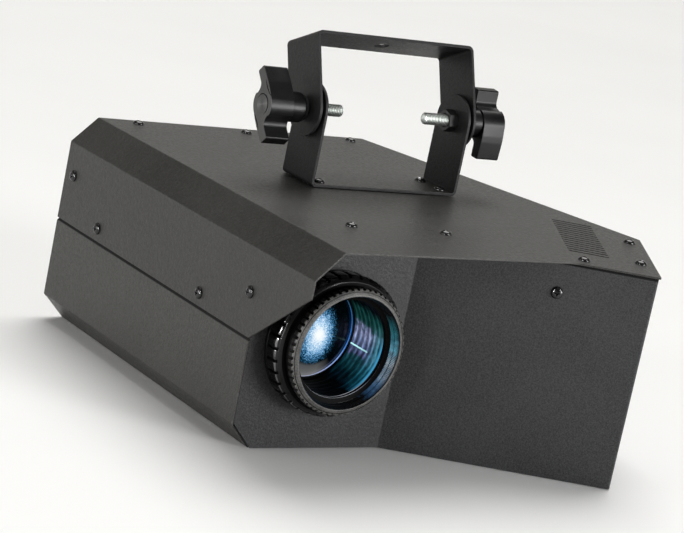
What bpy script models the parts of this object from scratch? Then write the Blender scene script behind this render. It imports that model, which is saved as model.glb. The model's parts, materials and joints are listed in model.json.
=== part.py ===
"""Stage effect light: folded sheet-steel housing with a recessed objective,
a two-part tilting bracket clamped by wing bolts, and the light engine inside.

Lengths in this file are millimetres, and the finished meshes are in metres.
The plan frame has its zero at the cover's front left corner;
a root empty moves everything so that the world origin lies under the middle
of the object's box, on the surface it stands on. Light leaves towards -Y.
"""
import math

import bmesh
import bpy
from mathutils import Matrix, Vector

MM = 0.001

# ---------------------------------------------------------------- dimensions
ORIGIN_X, ORIGIN_Y = 129.007, 146.25   # plan point that becomes world x = y = 0

SHEET = 1.2                  # housing sheet
GAP = 0.3                    # assembly clearance
HOUSING_H = 140.0
HOUSING_D = 309.9            # plan y of the rear face
SIDE_X = -17.4               # left side face
FOLD_TOP_Z = 122.6           # lower fold of the top left chamfer
FOLD_LOW_Z = 15.6            # upper fold of the bottom left chamfer
FLOOR_X = -1.5               # where the bottom chamfer meets the floor plate
SEAM_Z = 69.8                # lower edge of the cover's side
LIP_Z = 111.4                # where the cover's front edge starts to slope
PANEL_Y = 55.5               # recessed lens panel
KINK = (93.6, 55.5)          # fold between lens panel and wing panel
TIP = (221.2, -21.2)         # front right vertical edge of the wing panel
PLAN_C = (173.0, 3.8)        # cover outline
PLAN_D = (221.2, -22.8)
PLAN_E = (277.8, 66.4)
PLAN_F = (215.9, 309.9)
BEND_R = 1.8

VENT_COUNT = 15
VENT_FROM, VENT_TO = 94.5, 121.0      # along the wing panel
VENT_NEAR, VENT_FAR = 29.5, 117.5     # behind the wing panel
VENT_SLOT_W = 2.6

LENS_X, LENS_Z = 38.7, 70.0
RING_FRONT_Y = 28.8
RING_R, RING_IN_R = 40.0, 34.5
BARREL_R = 38.2
FOCUS_R, FOCUS_IN_R = 45.0, 38.8
FOCUS_FRONT_Y, FOCUS_BACK_Y = 39.2, 52.2
LUGS = 36

PIVOT_X, PIVOT_Y, PIVOT_Z = 129.35, 170.0, 187.3
LOWER_W, UPPER_W, STRAP_T = 36.0, 36.0, 2.0
LOWER_HALF = 57.65           # outer half width of the lower bracket
UPPER_HALF = 62.05           # outer half width of the upper bracket
UPPER_H = 47.5               # pivot to the top face of the bar
LEAN = math.radians(23.5)    # the bracket leans back at rest
BAR_HOLE_R = 5.0
BOLT_R = 4.0                 # M8 thread
HUB_R, HUB_IN, HUB_OUT = 9.7, 63.7, 92.2
WING_IN = 74.4
STUD_TIP = 31.8
LEFT_KNOB_TURN = math.radians(26.8)
RIGHT_KNOB_TURN = math.radians(14.0)
LEFT_SLACK, RIGHT_SLACK = 2.1, 0.0    # how far each bolt is unscrewed at rest

WHEEL_X, WHEEL_Z, WHEEL_Y = 77.7, 70.0, 97.6
WHEEL_R = 50.0
BEAM_OFFSET = WHEEL_X - LENS_X           # the beam crosses the wheel here
FAN_Y = 180.3

SCREW_HEAD_R, SCREW_HEAD_H, SCREW_R, SCREW_L = 3.9, 2.3, 1.8, 7.0

# --------------------------------------------------------------- scene set-up
for ob in list(bpy.data.objects):
    bpy.data.objects.remove(ob, do_unlink=True)

scene_root = bpy.context.scene.collection
parts = bpy.data.collections.new("effect_light")
cutters = bpy.data.collections.new("cutters")
scene_root.children.link(parts)
scene_root.children.link(cutters)


def empty(name, loc, parent=None, rot=None):
    e = bpy.data.objects.new(name, None)
    e.empty_display_size = 0.02
    parts.objects.link(e)
    e.location = Vector(loc) * MM
    if rot is not None:
        e.rotation_mode = 'QUATERNION'
        e.rotation_quaternion = rot
    e.parent = parent
    return e


ORIGIN = empty("housing_origin", (-ORIGIN_X, -ORIGIN_Y, 0.0))


def material(name, color, rough, metal=0.0, alpha=1.0, trans=0.0):
    m = bpy.data.materials.new(name)
    m.use_nodes = True
    b = m.node_tree.nodes["Principled BSDF"]
    b.inputs["Base Color"].default_value = (*color, 1.0)
    b.inputs["Roughness"].default_value = rough
    b.inputs["Metallic"].default_value = metal
    b.inputs["Alpha"].default_value = alpha
    b.inputs["Transmission Weight"].default_value = trans
    return m


# ------------------------------------------------------------ shape functions
def frame_matrix(origin, zdir, xdir):
    """Matrix of a frame with the given z and x directions, origin in mm."""
    z = Vector(zdir).normalized()
    x = Vector(xdir)
    x = (x - z * x.dot(z)).normalized()
    y = z.cross(x)
    m = Matrix((x, y, z)).transposed().to_4x4()
    m.translation = Vector(origin) * MM
    return m


def put(ob, matrix, parent=ORIGIN):
    ob.parent = parent
    ob.matrix_local = matrix
    return ob


def mesh_object(name, bm, cutter=False, smooth=True, angle=35.0):
    me = bpy.data.meshes.new(name)
    bm.normal_update()
    bm.to_mesh(me)
    bm.free()
    ob = bpy.data.objects.new(name, me)
    if cutter:
        cutters.objects.link(ob)
        ob.hide_render = True
        ob.display_type = 'WIRE'
    else:
        parts.objects.link(ob)
        if smooth:
            me.shade_smooth()
            me.set_sharp_from_angle(angle=math.radians(angle))
    return ob


def box(name, size, loc=(0, 0, 0), bevel=0.0, cutter=False, turn=0.0):
    """Box of the given size centred on loc, turned about z."""
    bm = bmesh.new()
    bmesh.ops.create_cube(bm, size=1.0)
    bmesh.ops.scale(bm, vec=Vector(size) * MM, verts=bm.verts)
    ob = mesh_object(name, bm, cutter, smooth=False)
    if bevel:
        b = ob.modifiers.new("edge", 'BEVEL')
        b.width = bevel * MM
        b.segments = 2
    put(ob, Matrix.Translation(Vector(loc) * MM) @ Matrix.Rotation(turn, 4, 'Z'))
    return ob


def cylinder(name, r, z0, z1, matrix, segs=24, r2=None, cutter=False):
    """Cylinder along the frame's z from z0 to z1."""
    bm = bmesh.new()
    bmesh.ops.create_cone(bm, cap_ends=True, segments=segs, radius1=r * MM,
                          radius2=(r if r2 is None else r2) * MM, depth=(z1 - z0) * MM)
    bmesh.ops.translate(bm, vec=(0, 0, (z0 + z1) / 2 * MM), verts=bm.verts)
    ob = mesh_object(name, bm, cutter)
    return put(ob, matrix)


def lathe(name, profile, matrix, segs=40, cutter=False):
    """Turned shape: profile of (radius, z) running down its outer side."""
    bm = bmesh.new()
    vs = [bm.verts.new((r * MM, 0.0, z * MM)) for r, z in profile]
    for a, b in zip(vs, vs[1:]):
        bm.edges.new((a, b))
    on_axis = profile[0][0] == 0.0 and profile[-1][0] == 0.0
    if not on_axis:
        bm.edges.new((vs[-1], vs[0]))
    ob = mesh_object(name, bm, cutter)
    s = ob.modifiers.new("turn", 'SCREW')
    s.axis = 'Z'
    s.angle = 2 * math.pi
    s.steps = segs
    s.render_steps = segs
    s.use_merge_vertices = True
    s.merge_threshold = 0.00002
    s.use_smooth_shade = True
    return put(ob, matrix)


def circle_points(r, n, cx=0.0, cy=0.0, start=0.0):
    return [(cx + r * math.cos(start + 2 * math.pi * i / n),
             cy + r * math.sin(start + 2 * math.pi * i / n)) for i in range(n)]


def fillet(points, radius, segs=4, closed=False):
    """Round the inner corners of a polyline."""
    out = []
    n = len(points)
    for i, p in enumerate(points):
        if not closed and i in (0, n - 1):
            out.append(tuple(p))
            continue
        a, b, c = Vector(points[i - 1]), Vector(p), Vector(points[(i + 1) % n])
        u, v = (a - b).normalized(), (c - b).normalized()
        half = math.acos(max(-1.0, min(1.0, u.dot(v)))) / 2
        if half > math.radians(89.0):
            out.append(tuple(p))
            continue
        cut = min(radius / math.tan(half), 0.45 * (a - b).length, 0.45 * (c - b).length)
        r = cut * math.tan(half)
        centre = b + (u + v).normalized() * (r / math.sin(half))
        s, e = b + u * cut - centre, b + v * cut - centre
        ang = math.atan2(s.x * e.y - s.y * e.x, s.dot(e))
        for k in range(segs + 1):
            t = ang * k / segs
            out.append((centre.x + s.x * math.cos(t) - s.y * math.sin(t),
                        centre.y + s.x * math.sin(t) + s.y * math.cos(t)))
    return out


def inset_loop(points, gap):
    """Move every side of a closed counter-clockwise outline inwards."""
    lines = []
    n = len(points)
    for i in range(n):
        a, b = Vector(points[i]), Vector(points[(i + 1) % n])
        d = (b - a).normalized()
        lines.append((a + Vector((-d.y, d.x)) * gap, d))
    out = []
    for i in range(n):
        (p, d), (q, e) = lines[i - 1], lines[i]
        t = ((q - p).x * e.y - (q - p).y * e.x) / (d.x * e.y - d.y * e.x)
        c = p + d * t
        out.append((c.x, c.y))
    return out


def outline(name, loops, z0, z1, matrix, cutter=False):
    """Flat outline with optional holes, extruded along the frame's z."""
    cu = bpy.data.curves.new(name + "_curve", 'CURVE')
    cu.dimensions = '2D'
    cu.fill_mode = 'BOTH'
    cu.extrude = (z1 - z0) / 2 * MM
    for loop in loops:
        sp = cu.splines.new('POLY')
        sp.points.add(len(loop) - 1)
        for pt, (x, y) in zip(sp.points, loop):
            pt.co = (x * MM, y * MM, 0.0, 1.0)
        sp.use_cyclic_u = True
    tmp = bpy.data.objects.new(name + "_outline", cu)
    cutters.objects.link(tmp)
    bpy.context.view_layer.update()
    me = bpy.data.meshes.new_from_object(tmp.evaluated_get(bpy.context.evaluated_depsgraph_get()))
    bpy.data.objects.remove(tmp, do_unlink=True)
    bm = bmesh.new()
    bm.from_mesh(me)
    bpy.data.meshes.remove(me)
    bmesh.ops.remove_doubles(bm, verts=bm.verts, dist=0.000001)
    bmesh.ops.translate(bm, vec=(0, 0, (z0 + z1) / 2 * MM), verts=bm.verts)
    bmesh.ops.recalc_face_normals(bm, faces=bm.faces)
    bmesh.ops.dissolve_limit(bm, angle_limit=math.radians(0.5), verts=bm.verts, edges=bm.edges)
    ob = mesh_object(name, bm, cutter)
    return put(ob, matrix)


def folded(name, profile, length0, length1, matrix, thick, cutter=False):
    """Folded sheet: an open profile in the frame's x, y drawn out along z and
    thickened towards the left of its running direction."""
    bm = bmesh.new()
    rows = []
    for z in (length0, length1):
        rows.append([bm.verts.new((x * MM, y * MM, z * MM)) for x, y in profile])
    for i in range(len(profile) - 1):
        bm.faces.new((rows[0][i], rows[0][i + 1], rows[1][i + 1], rows[1][i]))
    ob = mesh_object(name, bm, cutter, angle=20.0)
    s = ob.modifiers.new("sheet", 'SOLIDIFY')
    s.thickness = thick * MM
    s.offset = -1.0
    s.use_even_offset = True
    return put(ob, matrix)


def cut(ob, cutter, op='DIFFERENCE'):
    m = ob.modifiers.new(op.lower() + "_" + cutter.name, 'BOOLEAN')
    m.operation = op
    m.solver = 'EXACT'
    m.object = cutter
    return ob


def join_shapes(name, shapes):
    """Put several cutter meshes into one cutter (they do not touch)."""
    bm = bmesh.new()
    dg = bpy.context.evaluated_depsgraph_get()
    bpy.context.view_layer.update()
    for s in shapes:
        ev = s.evaluated_get(dg)
        me = ev.to_mesh()
        me.transform(s.matrix_local)
        bm.from_mesh(me)
        ev.to_mesh_clear()
    for s in shapes:
        bpy.data.objects.remove(s, do_unlink=True)
    return put(mesh_object(name, bm, True), Matrix())


XY = Matrix()                                            # z up
XZ = frame_matrix((0, 0, 0), (0, -1, 0), (1, 0, 0))      # x right, y up, z = -plan y
LENS_AXIS = frame_matrix((LENS_X, 0, LENS_Z), (0, -1, 0), (1, 0, 0))

WING = (Vector(TIP) - Vector(KINK)).normalized()         # along the wing panel
WING_IN_DIR = Vector((-WING.y, WING.x))                  # behind it
SIDE = (Vector(PLAN_E) - Vector(PLAN_D)).normalized()    # along the short side
SIDE_IN_DIR = Vector((-SIDE.y, SIDE.x))
WING_TURN = math.atan2(WING.y, WING.x)
CORNER_E = tuple(Vector(TIP) + SIDE * 104.4)             # right rear corner of the short side


def wing_point(along, behind):
    p = Vector(KINK) + WING * along + WING_IN_DIR * behind
    return (p.x, p.y)


# ------------------------------------------------------------------ materials
coat = material("powder_coat_black", (0.105, 0.10, 0.092), 0.52)
coat_fine = material("powder_coat_front", (0.055, 0.055, 0.060), 0.6)
strap_black = material("bracket_coat", (0.045, 0.045, 0.047), 0.45)
screw_black = material("black_screw", (0.012, 0.012, 0.012), 0.22, 0.6)
nylon = material("black_nylon", (0.012, 0.012, 0.012), 0.35)
zinc = material("zinc_plate", (0.72, 0.74, 0.70), 0.25, 1.0)
lens_black = material("lens_black", (0.008, 0.008, 0.008), 0.3)
ring_grey = material("front_ring_grey", (0.11, 0.105, 0.10), 0.55, 0.4)
glass = material("coated_glass", (0.75, 0.86, 1.0), 0.03, 0.0, 0.35, 0.9)
alu = material("aluminium", (0.62, 0.63, 0.64), 0.35, 1.0)
pcb = material("board_green", (0.02, 0.12, 0.05), 0.45)
rubber = material("friction_rubber", (0.02, 0.02, 0.02), 0.8)
steel = material("motor_steel", (0.45, 0.45, 0.46), 0.35, 1.0)
moulded = material("moulded_black", (0.018, 0.018, 0.019), 0.45)


def finish(ob, mat):
    ob.data.materials.clear()
    ob.data.materials.append(mat)
    return ob


# ------------------------------------------------------------------- screws
TOP_SCREWS = {
    "cover_screw_rear_left": (25.0, 299.2),
    "cover_screw_rear_mid": (110.0, 297.6),
    "cover_screw_rear_right": (198.8, 299.2),
    "cover_screw_front_left": (44.0, 61.5),
    "cover_screw_front_mid": (109.8, 54.4),
    "cover_screw_vent": (184.6, 9.4),
    "cover_screw_tip": (229.2, 7.2),
    "cover_screw_corner": (261.2, 57.4),
}
SIDE_SCREWS = {
    "side_screw_rear_upper": (297.6, 101.6),
    "side_screw_rear_lower": (254.0, 78.0),
    "side_screw_front_lower": (117.9, 77.8),
    "side_screw_front_upper": (62.8, 96.0),
}
BRACKET_SCREWS = {
    "bracket_screw_front_left": (81.5, 158.6),
    "bracket_screw_rear_left": (81.5, 179.4),
    "bracket_screw_front_right": (178.6, 159.6),
    "bracket_screw_rear_right": (177.4, 180.6),
}
WING_SCREW_ALONG, WING_SCREW_Z = 88.4, 118.5


def screw(name, matrix, length=SCREW_L):
    """Pan head screw: z = 0 is the seat of the head, the head points to +z."""
    prof = [(0, SCREW_HEAD_H + 0.15), (2.3, SCREW_HEAD_H - 0.05), (SCREW_HEAD_R, 1.1),
            (SCREW_HEAD_R, 0.15), (SCREW_R, 0.15), (SCREW_R, -length), (0, -length)]
    ob = lathe(name, prof, matrix, 12)
    a, t, b = 0.58, 0.40, 2.0
    cross = [(a, a), (b, t), (b, -t), (a, -a), (t, -b), (-t, -b), (-a, -a), (-b, -t), (-b, t), (-a, a), (-t, b), (t, b)]
    recess = outline(name + "_recess_tool", [cross], SCREW_HEAD_H - 1.3, SCREW_HEAD_H + 2.0, matrix, cutter=True)
    cut(ob, recess)
    return finish(ob, screw_black)


def up_at(x, y, z):
    return frame_matrix((x, y, z), (0, 0, 1), (1, 0.35, 0))


for n, (x, y) in TOP_SCREWS.items():
    screw(n, up_at(x, y, HOUSING_H))
for n, (y, z) in SIDE_SCREWS.items():
    screw(n, frame_matrix((SIDE_X, y, z), (-1, 0, 0), (0, 1, 0.3)))
for n, (x, y) in BRACKET_SCREWS.items():
    screw(n, up_at(x, y, HOUSING_H + GAP + STRAP_T), 9.0)
wx, wy = wing_point(WING_SCREW_ALONG, 0.0)
screw("wing_panel_screw", frame_matrix((wx, wy, WING_SCREW_Z), (-WING_IN_DIR.x, -WING_IN_DIR.y, 0), (0, 0, 1)), 9.0)


def drill(name, spots, r, depth, segs=16):
    """One cutter made of short pins: spots are (origin, direction)."""
    pins = []
    for i, (o, d) in enumerate(spots):
        side = (1, 0, 0) if abs(d[0]) < 0.7 else (0, 0, 1)
        pins.append(cylinder("%s_%d" % (name, i), r, -depth, depth, frame_matrix(o, d, side), segs, cutter=True))
    return join_shapes(name, pins)


# ------------------------------------------------------------------ top cover
cover_profile = fillet([(292.0, HOUSING_H), (0.0, HOUSING_H), (SIDE_X, FOLD_TOP_Z), (SIDE_X, SEAM_Z)], BEND_R, 3)
top_cover = folded("top_cover", cover_profile, -320.0, 40.0, XZ, SHEET)
plan = [(SIDE_X - 4, HOUSING_D), (SIDE_X - 4, 0.0), (0.0, 0.0), PLAN_C, PLAN_D, PLAN_E, PLAN_F]
plan_tool = outline("cover_plan_tool", [plan], SEAM_Z - 5, HOUSING_H + 5, XY, cutter=True)
cut(top_cover, plan_tool, 'INTERSECT')
YZ = frame_matrix((0, 0, 0), (1, 0, 0), (0, 1, 0))       # x = plan y, y = up
slope_tool = outline("cover_slope_tool", [[(-10, 40), (PANEL_Y, 40), (PANEL_Y, SEAM_Z), (0, LIP_Z), (-10, LIP_Z)]],
                     SIDE_X - 8, SIDE_X + 10, YZ, cutter=True)
cut(top_cover, slope_tool)
slots = []
for i in range(VENT_COUNT):
    behind = VENT_NEAR + (VENT_FAR - VENT_NEAR) * i / (VENT_COUNT - 1)
    sx, sy = wing_point((VENT_FROM + VENT_TO) / 2, behind)
    slots.append(box("slot_%d" % i, (VENT_TO - VENT_FROM, VENT_SLOT_W, 8.0), (sx, sy, HOUSING_H),
                     cutter=True, turn=WING_TURN))
cut(top_cover, join_shapes("vent_tool", slots))
spots = [((x, y, HOUSING_H), (0, 0, 1)) for x, y in TOP_SCREWS.values()]
spots += [((x, y, HOUSING_H), (0, 0, 1)) for x, y in BRACKET_SCREWS.values()]
spots += [((SIDE_X, y, z), (1, 0, 0)) for y, z in SIDE_SCREWS.values()]
cut(top_cover, drill("cover_hole_tool", spots, SCREW_R + GAP, 4.0, 12))
finish(top_cover, coat)

# ------------------------------------------------------------------ base tray
lap = SIDE_X + SHEET + 0.4
tray_profile = ([(lap, 87.0), (lap, SEAM_Z - 0.5), (SIDE_X, SEAM_Z - 2.0)]
                + fillet([(SIDE_X, SEAM_Z - 2.0), (SIDE_X, FOLD_LOW_Z), (FLOOR_X, 0.0), (292.0, 0.0)], BEND_R, 3)[1:])
base_tray = folded("base_tray", tray_profile, -HOUSING_D, 30.0, XZ, SHEET)
inset = SHEET + 0.5
wall_x = SIDE_X + SHEET + 0.3 - inset
walls = [(wall_x, HOUSING_D), (wall_x, PANEL_Y), KINK, TIP, CORNER_E, (PLAN_F[0] - 0.6, HOUSING_D)]
floor_loop = inset_loop(walls, inset)
tray_plan = ([(SIDE_X - 4, HOUSING_D), (SIDE_X - 4, PANEL_Y - 0.4), (wall_x + inset, PANEL_Y - 0.4)] + floor_loop[1:]
             + [floor_loop[0], (wall_x + inset, HOUSING_D)])
cut(base_tray, outline("tray_plan_tool", [tray_plan], -5, 95, XY, cutter=True), 'INTERSECT')
spots = [((SIDE_X, y, z), (1, 0, 0)) for n, (y, z) in SIDE_SCREWS.items() if "lower" in n]
cut(base_tray, drill("tray_hole_tool", spots, SCREW_R + GAP, 5.0, 12))
trim = box("tray_lap_trim", (12, 40, 60), (SIDE_X + 2, PANEL_Y - 2.0, SEAM_Z + 31.0), cutter=True)
cut(base_tray, trim)
trim2 = box("tray_lap_trim_rear", (12, 56, 60), (SIDE_X + 2, HOUSING_D + 2.0, SEAM_Z + 31.0), cutter=True)
cut(base_tray, trim2)
finish(base_tray, coat)

# ---------------------------------------------------------------- front panel
panel_left = SIDE_X + SHEET + 0.45
side_end = Vector(TIP) + SIDE * 103.0
panel_profile = fillet([(panel_left, PANEL_Y), KINK, TIP, (side_end.x, side_end.y)], BEND_R, 3)
front_panel = folded("front_panel", panel_profile, 0.2, HOUSING_H - SHEET - 0.4, XY, SHEET)
corner_low = outline("panel_corner_low", [[(SIDE_X - 6, -6), (FLOOR_X + 1.0 + 6, -6), (FLOOR_X + 1.0, 0.0),
                                           (SIDE_X + SHEET + 0.4, FOLD_LOW_Z + 0.6), (SIDE_X - 6, FOLD_LOW_Z + 0.6)]],
                     -PANEL_Y - 8, -PANEL_Y + 8, XZ, cutter=True)
corner_top = outline("panel_corner_top", [[(SIDE_X - 6, HOUSING_H + 4), (2.0, HOUSING_H + 4), (2.0, HOUSING_H - SHEET - 0.3),
                                           (SIDE_X + SHEET + 0.4, FOLD_TOP_Z - 1.0), (SIDE_X - 6, FOLD_TOP_Z - 1.0)]],
                     -PANEL_Y - 8, -PANEL_Y + 8, XZ, cutter=True)


def tab(name, x, y, z, turn, wide=15.0, deep=14.0):
    """Horizontal flange tab that reaches back from a panel under the cover."""
    return box(name, (wide, deep, 1.2), (x, y, z), cutter=True, turn=turn)


tab_z = HOUSING_H - SHEET - 0.4 - 0.6
tabs = []
for n, off in (("cover_screw_front_left", (0.0, 0.0)), ):
    x, y = TOP_SCREWS[n]
    tabs.append(tab("tab_" + n, x, PANEL_Y + 0.4 + 7.0, tab_z, 0.0))
for n in ("cover_screw_front_mid", "cover_screw_vent"):
    x, y = TOP_SCREWS[n]
    along = (Vector((x, y)) - Vector(KINK)).dot(WING)
    cx, cy = wing_point(along, 0.4 + 7.0)
    tabs.append(tab("tab_" + n, cx, cy, tab_z, WING_TURN))
for n in ("cover_screw_tip", "cover_screw_corner"):
    x, y = TOP_SCREWS[n]
    along = (Vector((x, y)) - Vector(TIP)).dot(SIDE)
    c = Vector(TIP) + SIDE * along + SIDE_IN_DIR * 8.4
    tabs.append(tab("tab_" + n, c.x, c.y, tab_z, math.atan2(SIDE.y, SIDE.x), 15.0, 16.0))
for t in tabs:
    cut(front_panel, t, 'UNION')
# upright ear behind the cover's side for its upper front screw
ear = box("panel_side_ear", (1.2, 15.0, 24.0), (panel_left + 0.6, PANEL_Y + 0.4 + 7.5, 96.0), cutter=True)
cut(front_panel, ear, 'UNION')
cut(front_panel, corner_low)
cut(front_panel, corner_top)
lens_hole = cylinder("lens_hole_tool", 40.7, -20, 20,
                     frame_matrix((LENS_X, PANEL_Y, LENS_Z), (0, -1, 0), (1, 0, 0)), 48, cutter=True)
cut(front_panel, lens_hole)
spots = [((x, y, HOUSING_H - 2), (0, 0, 1)) for n, (x, y) in TOP_SCREWS.items() if "rear" not in n]
spots.append(((SIDE_X + 2, SIDE_SCREWS["side_screw_front_upper"][0], SIDE_SCREWS["side_screw_front_upper"][1]), (1, 0, 0)))
spots.append(((wx, wy, WING_SCREW_Z), (WING_IN_DIR.x, WING_IN_DIR.y, 0)))
cut(front_panel, drill("panel_hole_tool", spots, SCREW_R + GAP, 4.5, 12))
finish(front_panel, coat_fine)

# ----------------------------------------------------- rear and right panel
REAR_IN = 0.0
rear_profile = fillet([CORNER_E, (PLAN_F[0] - 0.6, HOUSING_D - REAR_IN), (panel_left, HOUSING_D - REAR_IN)],
                      BEND_R, 3)
rear_panel = folded("rear_panel", rear_profile, 0.2, HOUSING_H - SHEET - 0.4, XY, SHEET)
flange = box("rear_flange", (218.0, 20.0, 1.2), (106.0, HOUSING_D - 0.4 - 10.0, tab_z), cutter=True)
cut(rear_panel, flange, 'UNION')
rear_ear = box("rear_side_ear", (1.2, 22.0, 24.0), (panel_left + 0.6, HOUSING_D - 0.4 - 11.0, 101.6), cutter=True)
cut(rear_panel, rear_ear, 'UNION')
low_r = outline("rear_corner_low", [[(SIDE_X - 6, -6), (FLOOR_X + 7.0, -6), (FLOOR_X + 1.0, 0.0),
                                     (SIDE_X + SHEET + 0.4, FOLD_LOW_Z + 0.6), (SIDE_X - 6, FOLD_LOW_Z + 0.6)]],
                -HOUSING_D - 8, -HOUSING_D + 8, XZ, cutter=True)
top_r = outline("rear_corner_top", [[(SIDE_X - 6, HOUSING_H + 4), (2.0, HOUSING_H + 4), (2.0, HOUSING_H - SHEET - 0.3),
                                     (SIDE_X + SHEET + 0.4, FOLD_TOP_Z - 1.0), (SIDE_X - 6, FOLD_TOP_Z - 1.0)]],
                -HOUSING_D - 8, -HOUSING_D + 24, XZ, cutter=True)
cut(rear_panel, low_r)
cut(rear_panel, top_r)

INLET = (178.0, 36.0)
DMX_IN = (30.0, 40.0)
DMX_OUT = (66.0, 40.0)
DISPLAY = (118.0, 101.0)
BUTTONS = {"button_mode": 92.0, "button_down": 109.0, "button_up": 126.0, "button_enter": 143.0}
BUTTON_Z = 77.0
REAR = frame_matrix((0, HOUSING_D, 0), (0, 1, 0), (-1, 0, 0))   # z out of the rear, x = -plan x


def at_rear(x, z):
    return frame_matrix((x, HOUSING_D, z), (0, 1, 0), (-1, 0, 0))


rear_cuts = [box("rc_inlet", (28.6, 12, 21.0), (INLET[0], HOUSING_D, INLET[1]), cutter=True),
             box("rc_display", (56.0, 12, 18.0), (DISPLAY[0], HOUSING_D, DISPLAY[1]), cutter=True)]
for n, (x, z) in (("rc_in", DMX_IN), ("rc_out", DMX_OUT)):
    rear_cuts.append(cylinder(n, 11.9, -6, 6, at_rear(x, z), 32, cutter=True))
for n, x in BUTTONS.items():
    rear_cuts.append(cylinder("rc_" + n, 3.6, -6, 6, at_rear(x, BUTTON_Z), 16, cutter=True))
for i in range(7):
    rear_cuts.append(box("rc_slot_%d" % i, (42.0, 12, 2.6), (36.0, HOUSING_D, 84.0 + 6.0 * i), cutter=True))
cut(rear_panel, join_shapes("rear_cut_tool", rear_cuts))
spots = [((x, y, HOUSING_H - 2), (0, 0, 1)) for n, (x, y) in TOP_SCREWS.items() if "rear" in n]
spots.append(((SIDE_X + 2, SIDE_SCREWS["side_screw_rear_upper"][0], SIDE_SCREWS["side_screw_rear_upper"][1]), (1, 0, 0)))
cut(rear_panel, drill("rear_hole_tool", spots, SCREW_R + GAP, 4.5, 12))
finish(rear_panel, coat)

# ------------------------------------------------------------------- brackets
PIVOT = empty("bracket_pivot", (PIVOT_X, PIVOT_Y, PIVOT_Z), ORIGIN)
TILT = empty("upper_bracket_tilt", (0, 0, 0), PIVOT, Matrix.Rotation(-LEAN, 4, 'X').to_quaternion())
XZ0 = frame_matrix((0, 0, 0), (0, -1, 0), (1, 0, 0))

foot = HOUSING_H + GAP - PIVOT_Z
low_prof = fillet([(-LOWER_HALF, 26.0), (-LOWER_HALF, foot), (LOWER_HALF, foot), (LOWER_HALF, 26.0)], 3.4, 4)
lower_bracket = folded("lower_bracket", low_prof, -LOWER_W / 2, LOWER_W / 2, XZ0, STRAP_T)
lower_bracket.parent = PIVOT
YZ0 = frame_matrix((0, 0, 0), (1, 0, 0), (0, 1, 0))


def strap_end(name, width, reach, sign, half, parent):
    """Side view of a strap with a round end about the pivot."""
    r = width / 2
    n = 16
    arc = [(r * math.cos(math.pi * i / n), sign * r * math.sin(math.pi * i / n)) for i in range(n + 1)]
    pts = arc + [(-r - 0.0, -sign * reach), (r + 0.0, -sign * reach)]
    ob = outline(name, [pts], -half, half, YZ0, cutter=True)
    ob.parent = parent
    return ob


cut(lower_bracket, strap_end("lower_strap_tool", LOWER_W - 0.02, 60.0, 1, 70.0, PIVOT), 'INTERSECT')
bore = cylinder("lower_bore_tool", BOLT_R + GAP, -70, 70, YZ0, 24, cutter=True)
bore.parent = PIVOT
cut(lower_bracket, bore)
spots = [((x - PIVOT_X, y - PIVOT_Y, foot), (0, 0, 1)) for x, y in BRACKET_SCREWS.values()]
lb_holes = drill("lower_hole_tool", spots, SCREW_R + GAP, 5.0, 12)
lb_holes.parent = PIVOT
cut(lower_bracket, lb_holes)
finish(lower_bracket, strap_black)

up_prof = fillet([(UPPER_HALF, -26.0), (UPPER_HALF, UPPER_H), (-UPPER_HALF, UPPER_H), (-UPPER_HALF, -26.0)], 4.0, 4)
upper_bracket = folded("upper_bracket", up_prof, -UPPER_W / 2, UPPER_W / 2, XZ0, STRAP_T)
upper_bracket.parent = TILT
cut(upper_bracket, strap_end("upper_strap_tool", UPPER_W - 0.02, 60.0, -1, 70.0, TILT), 'INTERSECT')
bore2 = cylinder("upper_bore_tool", BOLT_R + 0.5, -70, 70, YZ0, 24, cutter=True)
bore2.parent = TILT
cut(upper_bracket, bore2)
bar_hole = cylinder("bar_hole_tool", BAR_HOLE_R, UPPER_H - 8, UPPER_H + 8, Matrix(), 28, cutter=True)
bar_hole.parent = TILT
cut(upper_bracket, bar_hole)
finish(upper_bracket, strap_black)


def knob_outline():
    """End view of the S shaped wing: point symmetric about the axis."""
    half = [(-10.8, 1.2), (-9.6, 8.8), (-8.6, 13.0), (-5.2, 23.4), (-4.2, 24.2), (1.2, 22.4), (1.8, 21.4),
            (-0.2, 13.4), (1.2, 10.8), (4.4, 8.7)]
    r = HUB_R + 1.1
    side = [(r * math.sin(a), r * math.cos(a)) for a in (math.radians(40), math.radians(60), math.radians(80))]
    upper = [(w, u) for u, w in half] + [(c, s) for s, c in side]
    lower = [(-w, -u) for w, u in upper]
    return upper + lower


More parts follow.
